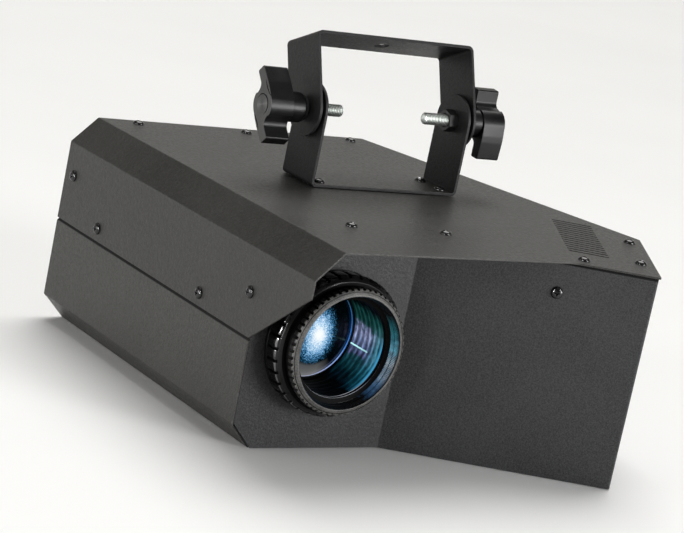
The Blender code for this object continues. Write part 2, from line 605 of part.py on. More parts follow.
def wing_bolt(prefix, sign, turn, slack):
    z = (sign, 0, 0)
    x = (0, math.sin(turn), math.cos(turn))
    travel = empty(prefix + "_bolt_travel", (sign * slack, 0, 0), PIVOT)
    fr = frame_matrix((0, 0, 0), z, x)
    hub = cylinder(prefix + "_wing_knob", HUB_R, HUB_IN, HUB_OUT - 0.4, fr, 28)
    hub.parent = travel
    wing = outline(prefix + "_wing_tool", [knob_outline()], WING_IN, HUB_OUT, fr, cutter=True)
    wing.parent = travel
    cut(hub, wing, 'UNION')
    socket = cylinder(prefix + "_socket_tool", BOLT_R + GAP, HUB_IN - 5, HUB_OUT - 8, fr, 24, cutter=True)
    socket.parent = travel
    cut(hub, socket)
    finish(hub, nylon)
    stud = lathe(prefix + "_threaded_stud",
                 [(0, HUB_OUT - 8.4), (BOLT_R, HUB_OUT - 8.4), (BOLT_R, STUD_TIP + 1.2), (BOLT_R - 1.2, STUD_TIP), (0, STUD_TIP)],
                 fr, 24)
    stud.parent = travel
    finish(stud, zinc)
    washer = lathe(prefix + "_washer", [(8.4, UPPER_HALF + 1.35), (8.4, UPPER_HALF + 0.3),
                                        (BOLT_R + GAP, UPPER_HALF + 0.3), (BOLT_R + GAP, UPPER_HALF + 1.35)], fr, 20)
    washer.parent = travel
    finish(washer, rubber)
    disc = lathe(prefix + "_friction_disc", [(13.5, LOWER_HALF + 2.1), (13.5, LOWER_HALF + 0.3),
                                             (BOLT_R + GAP, LOWER_HALF + 0.3), (BOLT_R + GAP, LOWER_HALF + 2.1)], fr, 24)
    disc.parent = PIVOT
    finish(disc, rubber)
    inner = LOWER_HALF - STRAP_T - 0.3
    nut = outline(prefix + "_weld_nut", [circle_points(7.5, 6), circle_points(BOLT_R + GAP, 24)],
                  inner - 6.5, inner, frame_matrix((0, 0, 0), z, (0, 0.2, 1)))
    nut.parent = PIVOT
    finish(nut, strap_black)


wing_bolt("left", -1, LEFT_KNOB_TURN, LEFT_SLACK)
wing_bolt("right", 1, RIGHT_KNOB_TURN, RIGHT_SLACK)

# ---------------------------------------------------------------- lens optics
LENS = empty("lens_axis", (LENS_X, 0.0, LENS_Z), ORIGIN)
LZ = frame_matrix((0, 0, 0), (0, -1, 0), (1, 0, 0))      # z points out of the lens
BARREL = empty("barrel_slide", (0, 0, 0), LENS)


def on_lens(ob, mat, parent=LENS):
    ob.parent = parent
    return finish(ob, mat)


on_lens(lathe("lens_mount", [(44.2, -52.6), (44.2, -55.2), (40.3, -55.2), (40.3, -72.0), (FOCUS_IN_R, -72.0),
                             (FOCUS_IN_R, -52.6)], LZ, 36), lens_black)


def lug_loop():
    pts = []
    for i in range(LUGS):
        a0 = 2 * math.pi * (i + 0.27) / LUGS
        w = 2 * math.pi / LUGS
        for f, r in ((0.14, FOCUS_R), (0.86, FOCUS_R), (0.90, FOCUS_R - 1.6), (1.10, FOCUS_R - 1.6)):
            pts.append((r * math.cos(a0 + f * w), r * math.sin(a0 + f * w)))
    return pts


focus = outline("focus_ring", [lug_loop(), circle_points(FOCUS_IN_R, 36)], -FOCUS_BACK_Y, -FOCUS_FRONT_Y - 2.2, LZ)
rim = lathe("focus_rim_tool", [(FOCUS_IN_R + 2.6, -FOCUS_FRONT_Y), (FOCUS_R - 1.7, -FOCUS_FRONT_Y - 2.6),
                               (FOCUS_IN_R + 1.0, -FOCUS_FRONT_Y - 2.6), (FOCUS_IN_R + 1.0, -FOCUS_FRONT_Y)], LZ, 36, cutter=True)
rim.parent = LENS
cut(focus, rim, 'UNION')
on_lens(focus, lens_black)

on_lens(lathe("lens_barrel", [(BARREL_R, -33.6), (BARREL_R, -84.0), (29.0, -84.0), (29.0, -80.0), (31.8, -80.0),
                              (31.8, -40.8), (31.0, -40.5), (31.0, -37.2), (34.4, -36.8), (34.4, -33.6)], LZ, 36),
        lens_black, BARREL)
on_lens(lathe("front_ring", [(35.9, -RING_FRONT_Y), (RING_R - 0.7, -30.7), (RING_R, -31.4), (RING_R, -34.8),
                             (BARREL_R + 0.3, -34.8), (BARREL_R + 0.3, -33.3), (RING_IN_R, -33.3), (RING_IN_R, -30.6), (35.6, -RING_FRONT_Y - 0.1)], LZ, 36),
        ring_grey, BARREL)


def dome(r_edge, z_edge, z_vertex, n):
    """Points of a spherical face from its vertex out to its edge."""
    sag = abs(z_edge - z_vertex)
    rc = (r_edge ** 2 + sag ** 2) / (2 * sag)
    s = -1 if z_edge < z_vertex else 1
    return [(r_edge * k / n, z_vertex + s * (rc - math.sqrt(rc ** 2 - (r_edge * k / n) ** 2))) for k in range(n + 1)]


obj_front = dome(31.3, -75.6, -64.0, 4)
obj_back = list(reversed(dome(31.3, -78.0, -80.4, 2)))
on_lens(lathe("objective_lens", obj_front + obj_back, LZ, 28), glass, BARREL)
on_lens(lathe("lens_retaining_ring", [(31.5, -72.4), (31.5, -75.0), (29.9, -74.1), (29.9, -72.4)], LZ, 28),
        lens_black, BARREL)

# ------------------------------------------------------------- light engine
optics_frame = box("optics_frame", (116.0, 150.0, 1.6), (60.0, 136.0, 2.5))
plate_a = box("wheel_plate_tool", (112.0, 1.6, 112.0), (60.0, 104.8, 57.4), cutter=True)
plate_b = box("led_plate_tool", (92.0, 1.6, 112.0), (48.4, 129.2, 57.4), cutter=True)
cut(optics_frame, plate_a, 'UNION')
cut(optics_frame, plate_b, 'UNION')
posts = [box("heatsink_post_%d" % i, (6.0, 12.2, 6.0), (LENS_X + dx, 135.6, LENS_Z + dz), cutter=True)
         for i, (dx, dz) in enumerate(((-30, -30), (30, -30), (30, 30), (-30, 30)))]
cut(optics_frame, join_shapes("heatsink_post_tool", posts), 'UNION')
holes = [cylinder("of_beam_a", 17.0, -112, -98, LENS_AXIS, 28, cutter=True),
         cylinder("of_beam_b", 20.4, -136, -124, LENS_AXIS, 28, cutter=True),
         cylinder("of_shaft", 5.4, -112, -98, frame_matrix((WHEEL_X, 0, WHEEL_Z), (0, -1, 0), (1, 0, 0)), 20, cutter=True)]
cut(optics_frame, join_shapes("frame_hole_tool", holes))
finish(optics_frame, alu)

MOTOR_AXIS = frame_matrix((WHEEL_X, 0, WHEEL_Z), (0, -1, 0), (1, 0, 0))
motor = lathe("wheel_motor", [(0, -93.4), (2.0, -93.4), (2.0, -103.0), (4.9, -103.0), (4.9, -105.9), (17.4, -105.9),
                              (17.4, -128.0), (0, -128.0)], MOTOR_AXIS, 28)
finish(motor, steel)

petals = []
for k in range(8):
    a = 2 * math.pi * k / 8
    c = (BEAM_OFFSET * math.cos(a), BEAM_OFFSET * math.sin(a))
    loop = []
    for i in range(10):
        t = 2 * math.pi * i / 10
        rr = 7.2 + 1.8 * math.cos(5 * t)
        loop.append((c[0] + rr * math.cos(t + a), c[1] + rr * math.sin(t + a)))
    petals.append(loop)
wheel = outline("effect_wheel", [circle_points(WHEEL_R, 48)] + petals, -WHEEL_Y - 1.2, -WHEEL_Y, MOTOR_AXIS)
cut(wheel, cylinder("wheel_boss_tool", 6.0, -WHEEL_Y - 0.6, -WHEEL_Y + 3.6, MOTOR_AXIS, 16, cutter=True), 'UNION')
cut(wheel, cylinder("wheel_bore_tool", 2.3, -WHEEL_Y - 6.0, -WHEEL_Y + 9.0, MOTOR_AXIS, 16, cutter=True))
finish(wheel, alu)

cond_front = dome(20.0, -127.6, -120.0, 3)
cond = lathe("condenser_lens", cond_front + [(20.0, -131.4), (0, -131.4)], LENS_AXIS, 26)
finish(cond, glass)

led_board = box("led_board", (44.0, 1.6, 44.0), (LENS_X, 140.8, LENS_Z))
dome_led = cylinder("led_dome_tool", 6.0, -140.4, -137.2, LENS_AXIS, 20, r2=4.0, cutter=True)
cut(led_board, dome_led, 'UNION')
finish(led_board, pcb)

heatsink = box("led_heatsink", (80.0, 5.0, 80.0), (LENS_X, 144.5, LENS_Z))
fins = []
for i in range(11):
    fins.append(box("fin_%d" % i, (1.8, 26.0, 80.0), (LENS_X - 38.5 + 7.7 * i, 159.5, LENS_Z), cutter=True))
cut(heatsink, join_shapes("fin_tool", fins), 'UNION')
finish(heatsink, alu)

FAN_AXIS = frame_matrix((LENS_X, FAN_Y, LENS_Z), (0, 1, 0), (1, 0, 0))
fan = outline("fan_frame", [fillet([(-40, -40), (40, -40), (40, 40), (-40, 40)], 4.0, 3, closed=True), circle_points(37.5, 40)],
              -7.5, 7.5, FAN_AXIS)
arms = []
for k in range(2):
    arm = box("fan_arm_%d" % k, (77.0 if k == 0 else 3.0, 2.0, 3.0 if k == 0 else 77.0), (LENS_X, FAN_Y + 6.2, LENS_Z), cutter=True)
    arms.append(arm)
seat = cylinder("fan_seat", 14.0, 4.6, 7.2, FAN_AXIS, 24, cutter=True)
for a in arms + [seat]:
    cut(fan, a, 'UNION')
finish(fan, moulded)

rotor = cylinder("fan_rotor", 15.0, -6.6, 4.0, FAN_AXIS, 24)
for k in range(7):
    a = 2 * math.pi * k / 7
    bl = box("blade_%d" % k, (23.0, 1.4, 10.4), (0, 0, 0), cutter=True)
    bl.matrix_local = (FAN_AXIS @ Matrix.Rotation(a, 4, 'Z') @ Matrix.Translation((24.5 * MM, 0, -1.3 * MM))
                       @ Matrix.Rotation(math.radians(38), 4, 'X'))
    cut(rotor, bl, 'UNION')
finish(rotor, moulded)

# --------------------------------------------------- power supply and control
bx, by = wing_point(88.4, SHEET + 0.4 + 0.8)
psu_bracket = box("psu_bracket", (96.0, 1.6, 126.0), (bx, by, 64.8), turn=WING_TURN)
fx, fy = wing_point(88.4, SHEET + 0.4 + 20.0)
foot_tool = box("psu_foot_tool", (96.0, 40.0, 1.6), (fx, fy, 2.6), cutter=True, turn=WING_TURN)
cut(psu_bracket, foot_tool, 'UNION')
cut(psu_bracket, drill("psu_hole_tool", [((wx, wy, WING_SCREW_Z), (WING_IN_DIR.x, WING_IN_DIR.y, 0))], SCREW_R + GAP, 9.0, 12))
finish(psu_bracket, alu)

px, py = wing_point(88.4, 12.0)
psu = box("power_supply", (84.0, 1.6, 62.0), (px, py, 64.0), turn=WING_TURN)
for n, al, be, z, sz in (("transformer", 70.0, 24.0, 58.0, (26.0, 23.0, 24.0)),
                         ("main_cap", 104.0, 22.0, 74.0, (18.0, 19.0, 30.0)),
                         ("choke", 112.0, 19.0, 46.0, (14.0, 13.0, 16.0)),
                         ("sink", 86.0, 20.0, 86.0, (30.0, 15.0, 3.0))):
    qx, qy = wing_point(al, be)
    cut(psu, box("psu_" + n, sz, (qx, qy, z), cutter=True, turn=WING_TURN), 'UNION')
for i, (al, z) in enumerate(((52.0, 40.0), (124.0, 40.0), (52.0, 88.0), (124.0, 88.0))):
    qx, qy = wing_point(al, 7.5)
    cut(psu, box("psu_post_%d" % i, (5.0, 8.0, 5.0), (qx, qy, z), cutter=True, turn=WING_TURN), 'UNION')
finish(psu, pcb)

control = box("control_board", (112.0, 1.6, 56.0), (118.0, HOUSING_D - 12.0, 88.0))
disp_block = box("seg_tool", (50.0, 7.0, 15.0), (DISPLAY[0], HOUSING_D - 8.0, DISPLAY[1]), cutter=True)
cut(control, disp_block, 'UNION')
posts = [box("control_post_%d" % i, (5.0, 10.4, 5.0), (118.0 + dx, HOUSING_D - 6.7, 88.0 + dz), cutter=True)
         for i, (dx, dz) in enumerate(((-52, -24), (52, -24), (52, 24), (-52, 24)))]
posts += [box("tact_switch_%d" % i, (6.0, 7.0, 6.0), (x, HOUSING_D - 8.6, BUTTON_Z), cutter=True)
          for i, x in enumerate(BUTTONS.values())]
cut(control, join_shapes("control_post_tool", posts), 'UNION')
finish(control, pcb)

# -------------------------------------------------------------- rear fittings
window = outline("display_window", [fillet([(-30, -11), (30, -11), (30, 11), (-30, 11)], 2.0, 3, closed=True)], 0.3, 1.5,
                 at_rear(*DISPLAY))
finish(window, moulded)
for n, x in BUTTONS.items():
    b = lathe(n, [(0, 2.4), (2.8, 2.4), (3.2, 2.0), (3.2, -3.0), (4.4, -3.0), (4.4, -4.0), (0, -4.0)], at_rear(x, BUTTON_Z), 14)
    finish(b, moulded)

inlet = outline("mains_inlet", [fillet([(-25, -12.5), (25, -12.5), (25, 12.5), (-25, 12.5)], 3.0, 3, closed=True),
                                fillet([(-12.2, -8.2), (12.2, -8.2), (12.2, 4.2), (8.2, 8.2), (-8.2, 8.2), (-12.2, 4.2)],
                                       1.0, 2, closed=True)], 0.3, 2.6, at_rear(*INLET))
shell_out = fillet([(-14.0, -10.2), (14.0, -10.2), (14.0, 10.2), (-14.0, 10.2)], 1.5, 2, closed=True)
body = outline("inlet_body_tool", [shell_out], -22.0, 1.0, at_rear(*INLET), cutter=True)
cut(inlet, body, 'UNION')
cavity = outline("inlet_cavity_tool", [fillet([(-12.2, -8.2), (12.2, -8.2), (12.2, 4.2), (8.2, 8.2), (-8.2, 8.2), (-12.2, 4.2)],
                                              1.0, 2, closed=True)], -15.5, 5.0, at_rear(*INLET), cutter=True)
cut(inlet, cavity)
for i, (ax, ay) in enumerate(((-7.0, -2.0), (0.0, 2.0), (7.0, -2.0))):
    blade = box("inlet_pin_%d" % i, (2.0, 15.0, 4.0), (INLET[0] + ax, HOUSING_D - 10.0, INLET[1] + ay), cutter=True)
    cut(inlet, blade, 'UNION')
finish(inlet, moulded)


def xlr(name, centre, female):
    fl = outline(name, [fillet([(-13, -15.5), (13, -15.5), (13, 15.5), (-13, 15.5)], 3.0, 3, closed=True)],
                 0.3, 2.4, at_rear(*centre))
    core = cylinder(name + "_core_tool", 11.5, -20.0, 1.2, at_rear(*centre), 24, cutter=True)
    cut(fl, core, 'UNION')
    if female:
        pocket = lathe(name + "_pocket_tool", [(9.4, 6.0), (9.4, -13.0), (7.6, -13.0), (7.6, 6.0)], at_rear(*centre), 20, cutter=True)
        cut(fl, pocket)
    else:
        pocket = cylinder(name + "_pocket_tool", 9.4, -13.0, 6.0, at_rear(*centre), 24, cutter=True)
        cut(fl, pocket)
        for k in range(3):
            a = math.radians(90 + 120 * k)
            c = (centre[0] + 4.2 * math.cos(a), centre[1] - 4.2 * math.sin(a))
            cut(fl, cylinder("%s_pin_%d" % (name, k), 1.2, -14.0, -4.6, at_rear(*c), 8, cutter=True), 'UNION')
    return finish(fl, moulded)


xlr("dmx_in_socket", DMX_IN, False)
dmx_out = xlr("dmx_out_socket", DMX_OUT, True)
notch = box("latch_notch_tool", (7.6, 12.0, 4.2), (DMX_OUT[0], HOUSING_D + 1.0, DMX_OUT[1] + 12.6), cutter=True)
cut(dmx_out, notch)
latch = box("dmx_out_latch", (6.8, 3.4, 3.4), (DMX_OUT[0], HOUSING_D + 3.7, DMX_OUT[1] + 12.6), bevel=0.4)
finish(latch, steel)
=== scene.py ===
"""Looks of a stage effect light: folded black sheet metal, a tilting bracket
with two wing bolts, and a focusing lens. Lengths are millimetres in the same
plan frame as the construction, and metres once they are in a mesh."""
import json
import math

import bmesh
import bpy
from mathutils import Matrix, Vector

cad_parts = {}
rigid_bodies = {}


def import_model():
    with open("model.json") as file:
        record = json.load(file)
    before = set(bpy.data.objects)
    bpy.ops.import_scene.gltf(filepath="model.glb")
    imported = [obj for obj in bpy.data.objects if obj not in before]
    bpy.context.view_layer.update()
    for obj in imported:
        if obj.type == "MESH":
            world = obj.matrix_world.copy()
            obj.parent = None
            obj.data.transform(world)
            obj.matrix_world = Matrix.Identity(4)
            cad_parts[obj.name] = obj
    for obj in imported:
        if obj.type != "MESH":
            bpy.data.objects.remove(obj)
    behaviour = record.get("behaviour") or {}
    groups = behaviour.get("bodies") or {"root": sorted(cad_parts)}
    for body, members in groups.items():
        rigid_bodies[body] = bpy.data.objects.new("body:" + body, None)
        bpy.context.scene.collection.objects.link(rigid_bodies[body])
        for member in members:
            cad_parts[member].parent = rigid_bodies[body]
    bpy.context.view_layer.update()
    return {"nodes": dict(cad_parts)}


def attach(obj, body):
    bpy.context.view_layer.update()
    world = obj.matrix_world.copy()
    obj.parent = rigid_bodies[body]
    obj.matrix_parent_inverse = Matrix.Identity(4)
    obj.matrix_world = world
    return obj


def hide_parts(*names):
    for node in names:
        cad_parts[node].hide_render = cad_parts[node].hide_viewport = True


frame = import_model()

MM = 0.001
SCENE = bpy.context.scene

# ---------------------------------------------------------------- dimensions
ORIGIN_X, ORIGIN_Y = 129.007, 146.25
SHEET, GAP = 1.2, 0.3
HOUSING_H, HOUSING_D = 140.0, 309.9
SIDE_X, FOLD_TOP_Z, FOLD_LOW_Z, FLOOR_X = -17.4, 122.6, 15.6, -1.5
SEAM_Z, LIP_Z, PANEL_Y = 69.8, 111.4, 55.5
KINK, TIP = (93.6, 55.5), (221.2, -21.2)
PLAN_C, PLAN_D, PLAN_E, PLAN_F = (173.0, 3.8), (221.2, -22.8), (277.8, 66.4), (215.9, 309.9)
BEND_R = 1.8
VENT_COUNT, VENT_FROM, VENT_TO, VENT_NEAR, VENT_FAR, VENT_SLOT_W = 15, 94.5, 121.0, 29.5, 117.5, 2.6
LENS_X, LENS_Z = 38.7, 70.0
LUGS = 36
PIVOT_X, PIVOT_Y, PIVOT_Z = 129.35, 170.0, 187.3
LOWER_W, UPPER_W, STRAP_T = 36.0, 36.0, 2.0
LOWER_HALF, UPPER_HALF, UPPER_H = 57.65, 62.05, 47.5
LEAN = math.radians(23.5)
BOLT_R = 4.0
HUB_R, HUB_IN, HUB_OUT, WING_IN, STUD_TIP = 9.7, 63.7, 92.2, 74.4, 31.8
SCREW_R = 1.8

ROOT = Matrix.Translation((-ORIGIN_X * MM, -ORIGIN_Y * MM, 0.0))
PIVOT = ROOT @ Matrix.Translation((PIVOT_X * MM, PIVOT_Y * MM, PIVOT_Z * MM))
TILT = PIVOT @ Matrix.Rotation(-LEAN, 4, 'X')

bench = bpy.data.collections.new("bench")
SCENE.collection.children.link(bench)


# ------------------------------------------------------------ shape functions
def axes(origin, zdir, xdir):
    z = Vector(zdir).normalized()
    x = Vector(xdir)
    x = (x - z * x.dot(z)).normalized()
    m = Matrix((x, z.cross(x), z)).transposed().to_4x4()
    m.translation = Vector(origin) * MM
    return m


def work(name, bm, matrix=None, base=ROOT):
    """A shape on the bench, placed by a matrix in the plan frame or in base."""
    me = bpy.data.meshes.new(name)
    bm.normal_update()
    bm.to_mesh(me)
    bm.free()
    ob = bpy.data.objects.new(name, me)
    bench.objects.link(ob)
    ob.matrix_world = base @ (matrix or Matrix())
    return ob


def block(size, loc, turn=0.0, base=ROOT):
    bm = bmesh.new()
    bmesh.ops.create_cube(bm, size=1.0)
    bmesh.ops.scale(bm, vec=Vector(size) * MM, verts=bm.verts)
    return work("block", bm, Matrix.Translation(Vector(loc) * MM) @ Matrix.Rotation(turn, 4, 'Z'), base)


def rod(r, z0, z1, matrix, segs=48, r2=None, base=ROOT):
    bm = bmesh.new()
    bmesh.ops.create_cone(bm, cap_ends=True, segments=segs, radius1=r * MM,
                          radius2=(r if r2 is None else r2) * MM, depth=(z1 - z0) * MM)
    bmesh.ops.translate(bm, vec=(0, 0, (z0 + z1) / 2 * MM), verts=bm.verts)
    return work("rod", bm, matrix, base)


def rings(rows, count, closed=True):
    """Closed skin through rings of points; a ring of one point is a pole."""
    bm = bmesh.new()
    vs = [[bm.verts.new(p) for p in row] for row in rows]
    pairs = list(zip(vs, vs[1:] + ([vs[0]] if closed else [])))
    for a, b in pairs:
        for i in range(count):
            j = (i + 1) % count
            face = [a[i % len(a)], a[j % len(a)], b[j % len(b)], b[i % len(b)]]
            face = list(dict.fromkeys(face))
            if len(face) > 2:
                bm.faces.new(face)
    bmesh.ops.recalc_face_normals(bm, faces=bm.faces)
    return bm


def turned(profile, matrix, segs=64, base=ROOT):
    """Turned shape: (radius, z) pairs; both ends on the axis, or a closed loop."""
    rows = []
    for r, z in profile:
        if r == 0.0:
            rows.append([(0.0, 0.0, z * MM)])
        else:
            rows.append([(r * MM * math.cos(2 * math.pi * i / segs), r * MM * math.sin(2 * math.pi * i / segs), z * MM)
                         for i in range(segs)])
    on_axis = profile[0][0] == 0.0 and profile[-1][0] == 0.0
    return work("turned", rings(rows, segs, not on_axis), matrix, base)


def circle(r, n, cx=0.0, cy=0.0, start=0.0):
    return [(cx + r * math.cos(start + 2 * math.pi * i / n), cy + r * math.sin(start + 2 * math.pi * i / n))
            for i in range(n)]


def fillet(points, radius, segs=6, closed=False):
    """Round the corners of a polyline; radius may be one number or a list."""
    out = []
    n = len(points)
    for i, p in enumerate(points):
        rad = radius[i] if isinstance(radius, (list, tuple)) else radius
        if (not closed and i in (0, n - 1)) or rad <= 0:
            out.append(tuple(p))
            continue
        a, b, c = Vector(points[i - 1]), Vector(p), Vector(points[(i + 1) % n])
        u, v = (a - b).normalized(), (c - b).normalized()
        half = math.acos(max(-1.0, min(1.0, u.dot(v)))) / 2
        if half > math.radians(89.0):
            out.append(tuple(p))
            continue
        reach = min(rad / math.tan(half), 0.45 * (a - b).length, 0.45 * (c - b).length)
        r = reach * math.tan(half)
        centre = b + (u + v).normalized() * (r / math.sin(half))
        s, e = b + u * reach - centre, b + v * reach - centre
        ang = math.atan2(s.x * e.y - s.y * e.x, s.dot(e))
        for k in range(segs + 1):
            t = ang * k / segs
            out.append((centre.x + s.x * math.cos(t) - s.y * math.sin(t),
                        centre.y + s.x * math.sin(t) + s.y * math.cos(t)))
    return out


def round_rect(w, h, r, segs=6, cx=0.0, cy=0.0):
    pts = [(-w / 2, -h / 2), (w / 2, -h / 2), (w / 2, h / 2), (-w / 2, h / 2)]
    return [(cx + x, cy + y) for x, y in fillet(pts, r, segs, closed=True)]


def inset_loop(points, gap):
    lines = []
    n = len(points)
    for i in range(n):
        a, b = Vector(points[i]), Vector(points[(i + 1) % n])
        d = (b - a).normalized()
        lines.append((a + Vector((-d.y, d.x)) * gap, d))
    out = []
    for i in range(n):
        (p, d), (q, e) = lines[i - 1], lines[i]
        t = ((q - p).x * e.y - (q - p).y * e.x) / (d.x * e.y - d.y * e.x)
        c = p + d * t
        out.append((c.x, c.y))
    return out


def plate(loops, z0, z1, matrix=None, base=ROOT):
    """Flat outline with holes, drawn out along z."""
    cu = bpy.data.curves.new("plate", 'CURVE')
    cu.dimensions = '2D'
    cu.fill_mode = 'BOTH'
    cu.extrude = (z1 - z0) / 2 * MM
    for loop in loops:
        sp = cu.splines.new('POLY')
        sp.points.add(len(loop) - 1)
        for pt, (x, y) in zip(sp.points, loop):
            pt.co = (x * MM, y * MM, 0.0, 1.0)
        sp.use_cyclic_u = True
    tmp = bpy.data.objects.new("plate", cu)
    bench.objects.link(tmp)
    bpy.context.view_layer.update()
    me = bpy.data.meshes.new_from_object(tmp.evaluated_get(bpy.context.evaluated_depsgraph_get()))
    bpy.data.objects.remove(tmp, do_unlink=True)
    bm = bmesh.new()
    bm.from_mesh(me)
    bpy.data.meshes.remove(me)
    bmesh.ops.remove_doubles(bm, verts=bm.verts, dist=0.000001)
    bmesh.ops.translate(bm, vec=(0, 0, (z0 + z1) / 2 * MM), verts=bm.verts)
    bmesh.ops.recalc_face_normals(bm, faces=bm.faces)
    bmesh.ops.dissolve_limit(bm, angle_limit=math.radians(0.5), verts=bm.verts, edges=bm.edges)
    return work("plate", bm, matrix, base)


def folded(profile, length0, length1, matrix, thick, base=ROOT):
    """Folded sheet: a profile in x, y drawn out along z, thick to its left."""
    bm = bmesh.new()
    lines = [[bm.verts.new((x * MM, y * MM, z * MM)) for x, y in profile] for z in (length0, length1)]
    for i in range(len(profile) - 1):
        bm.faces.new((lines[0][i], lines[0][i + 1], lines[1][i + 1], lines[1][i]))
    ob = work("folded", bm, matrix, base)
    s = ob.modifiers.new("sheet", 'SOLIDIFY')
    s.thickness = thick * MM
    s.offset = -1.0
    s.use_even_offset = True
    return ob


def cut(ob, tool, op='DIFFERENCE'):
    m = ob.modifiers.new(op.lower(), 'BOOLEAN')
    m.operation = op
    m.solver = 'EXACT'
    m.object = tool
    return ob


def settle(ob):
    """Mesh of a shape with its modifiers, in its own frame."""
    bpy.context.view_layer.update()
    return bpy.data.meshes.new_from_object(ob.evaluated_get(bpy.context.evaluated_depsgraph_get()))


def gather(shapes):
    """Several separate shapes as one, in the row frame."""
    bm = bmesh.new()
    for s in shapes:
        me = settle(s)
        me.transform(s.matrix_world)
        bm.from_mesh(me)
        bpy.data.meshes.remove(me)
    ob = work("gathered", bm, Matrix(), Matrix())
    return ob


def drill(spots, r, depth, segs=28, base=ROOT):
    pins = []
    for o, d in spots:
        side = (1, 0, 0) if abs(d[0]) < 0.7 else (0, 0, 1)
        pins.append(rod(r, -depth, depth, axes(o, d, side), segs, base=base))
    return gather(pins)


def soften(ob, width, segs=2, limit=30.0, index=-1):
    b = ob.modifiers.new("edges", 'BEVEL')
    b.width = width * MM
    b.segments = segs
    b.limit_method = 'ANGLE'
    b.angle_limit = math.radians(limit)
    b.use_clamp_overlap = False
    b.miter_outer = 'MITER_ARC'
    b.material = index
    return ob


MADE = {}


def piece(name, ob, looks, body, nodes=(), sharp=32.0, weigh=True):
    """Turn a shape on the bench into a finished piece that rides on a body."""
    me = settle(ob)
    me.transform(ob.matrix_world)
    me.name = name
    bm = bmesh.new()
    bm.from_mesh(me)
    bmesh.ops.remove_doubles(bm, verts=bm.verts, dist=0.0000005)
    bmesh.ops.dissolve_degenerate(bm, dist=0.0000004, edges=bm.edges)
    bm.to_mesh(me)
    bm.free()
    looks = looks if isinstance(looks, (list, tuple)) else [looks]
    me.materials.clear()
    for m in looks:
        me.materials.append(m)
    me.shade_smooth()
    me.set_sharp_from_angle(angle=math.radians(sharp))
    new = bpy.data.objects.new(name, me)
    SCENE.collection.objects.link(new)
    if weigh:
        w = new.modifiers.new("normals", 'WEIGHTED_NORMAL')
        w.keep_sharp = True
        w.weight = 80
    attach(new, body)
    if nodes:
        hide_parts(*nodes)
    MADE[name] = new
    return new


# ------------------------------------------------------------------ materials
class Look:
    """One material and the nodes it is wired from."""

    def __init__(self, name, **values):
        self.m = bpy.data.materials.new(name)
        self.m.use_nodes = True
        self.t = self.m.node_tree
        self.b = self.t.nodes["Principled BSDF"]
        for k, v in values.items():
            self.b.inputs[k.replace("_", " ")].default_value = v
        self.pos = self.t.nodes.new("ShaderNodeTexCoord").outputs["Object"]

    def node(self, kind, **props):
        n = self.t.nodes.new(kind)
        for k, v in props.items():
            setattr(n, k, v)
        return n

    def wire(self, a, b):
        self.t.links.new(a, b)

    def noise(self, scale, detail=2.0, rough=0.5, stretch=None, twist=0.0):
        src = self.pos
        if stretch:
            mp = self.node("ShaderNodeMapping")
            mp.inputs["Scale"].default_value = stretch
            self.wire(src, mp.inputs["Vector"])
            src = mp.outputs["Vector"]
        n = self.node("ShaderNodeTexNoise")
        n.inputs["Scale"].default_value = scale
        n.inputs["Detail"].default_value = detail
        n.inputs["Roughness"].default_value = rough
        n.inputs["Distortion"].default_value = twist
        self.wire(src, n.inputs["Vector"])
        return n.outputs["Fac"]

    def cells(self, scale, feature='F1', stretch=None):
        src = self.pos
        if stretch:
            mp = self.node("ShaderNodeMapping")
            mp.inputs["Scale"].default_value = stretch
            self.wire(src, mp.inputs["Vector"])
            src = mp.outputs["Vector"]
        n = self.node("ShaderNodeTexVoronoi", feature=feature)
        n.inputs["Scale"].default_value = scale
        self.wire(src, n.inputs["Vector"])
        return n.outputs["Distance"]

    def ramp(self, fac, stops, interpolation='LINEAR'):
        n = self.node("ShaderNodeValToRGB")
        cr = n.color_ramp
        cr.interpolation = interpolation
        while len(cr.elements) > 1:
            cr.elements.remove(cr.elements[-1])
        first = True
        for p, c in stops:
            c = (c, c, c) if isinstance(c, (int, float)) else c
            e = cr.elements[0] if first else cr.elements.new(p)
            e.position = p
            e.color = (*c[:3], 1.0)
            first = False
        self.wire(fac, n.inputs["Fac"])
        return n.outputs["Color"]

    def calc(self, op, a, b=None, c=None, clamp=False):
        n = self.node("ShaderNodeMath", operation=op, use_clamp=clamp)
        for i, v in enumerate((a, b, c)):
            if v is None:
                continue
            if isinstance(v, (int, float)):
                n.inputs[i].default_value = v
            else:
                self.wire(v, n.inputs[i])
        return n.outputs[0]

    def span(self, v, a, b, c=0.0, d=1.0):
        n = self.node("ShaderNodeMapRange")
        self.wire(v, n.inputs["Value"])
        for k, x in (("From Min", a), ("From Max", b), ("To Min", c), ("To Max", d)):
            n.inputs[k].default_value = x
        return n.outputs["Result"]

    def blend(self, fac, a, b, mode='MIX'):
        n = self.node("ShaderNodeMix", data_type='RGBA', blend_type=mode)
        for sock, v in ((n.inputs[0], fac), (n.inputs[6], a), (n.inputs[7], b)):
            if isinstance(v, (int, float)):
                sock.default_value = v if sock == n.inputs[0] else (v, v, v, 1.0)
            elif isinstance(v, tuple):
                sock.default_value = (*v[:3], 1.0)
            else:
                self.wire(v, sock)
        return n.outputs[2]

    def bump(self, height, distance, strength=1.0, after=None):
        n = self.node("ShaderNodeBump")
        n.inputs["Strength"].default_value = strength
        n.inputs["Distance"].default_value = distance
        self.wire(height, n.inputs["Height"])
        if after is not None:
            self.wire(after, n.inputs["Normal"])
        return n.outputs["Normal"]

    def base(self, sock):
        self.wire(sock, self.b.inputs["Base Color"])
        return self

    def rough(self, sock):
        self.wire(sock, self.b.inputs["Roughness"])
        return self

    def normal(self, sock):
        self.wire(sock, self.b.inputs["Normal"])
        return self


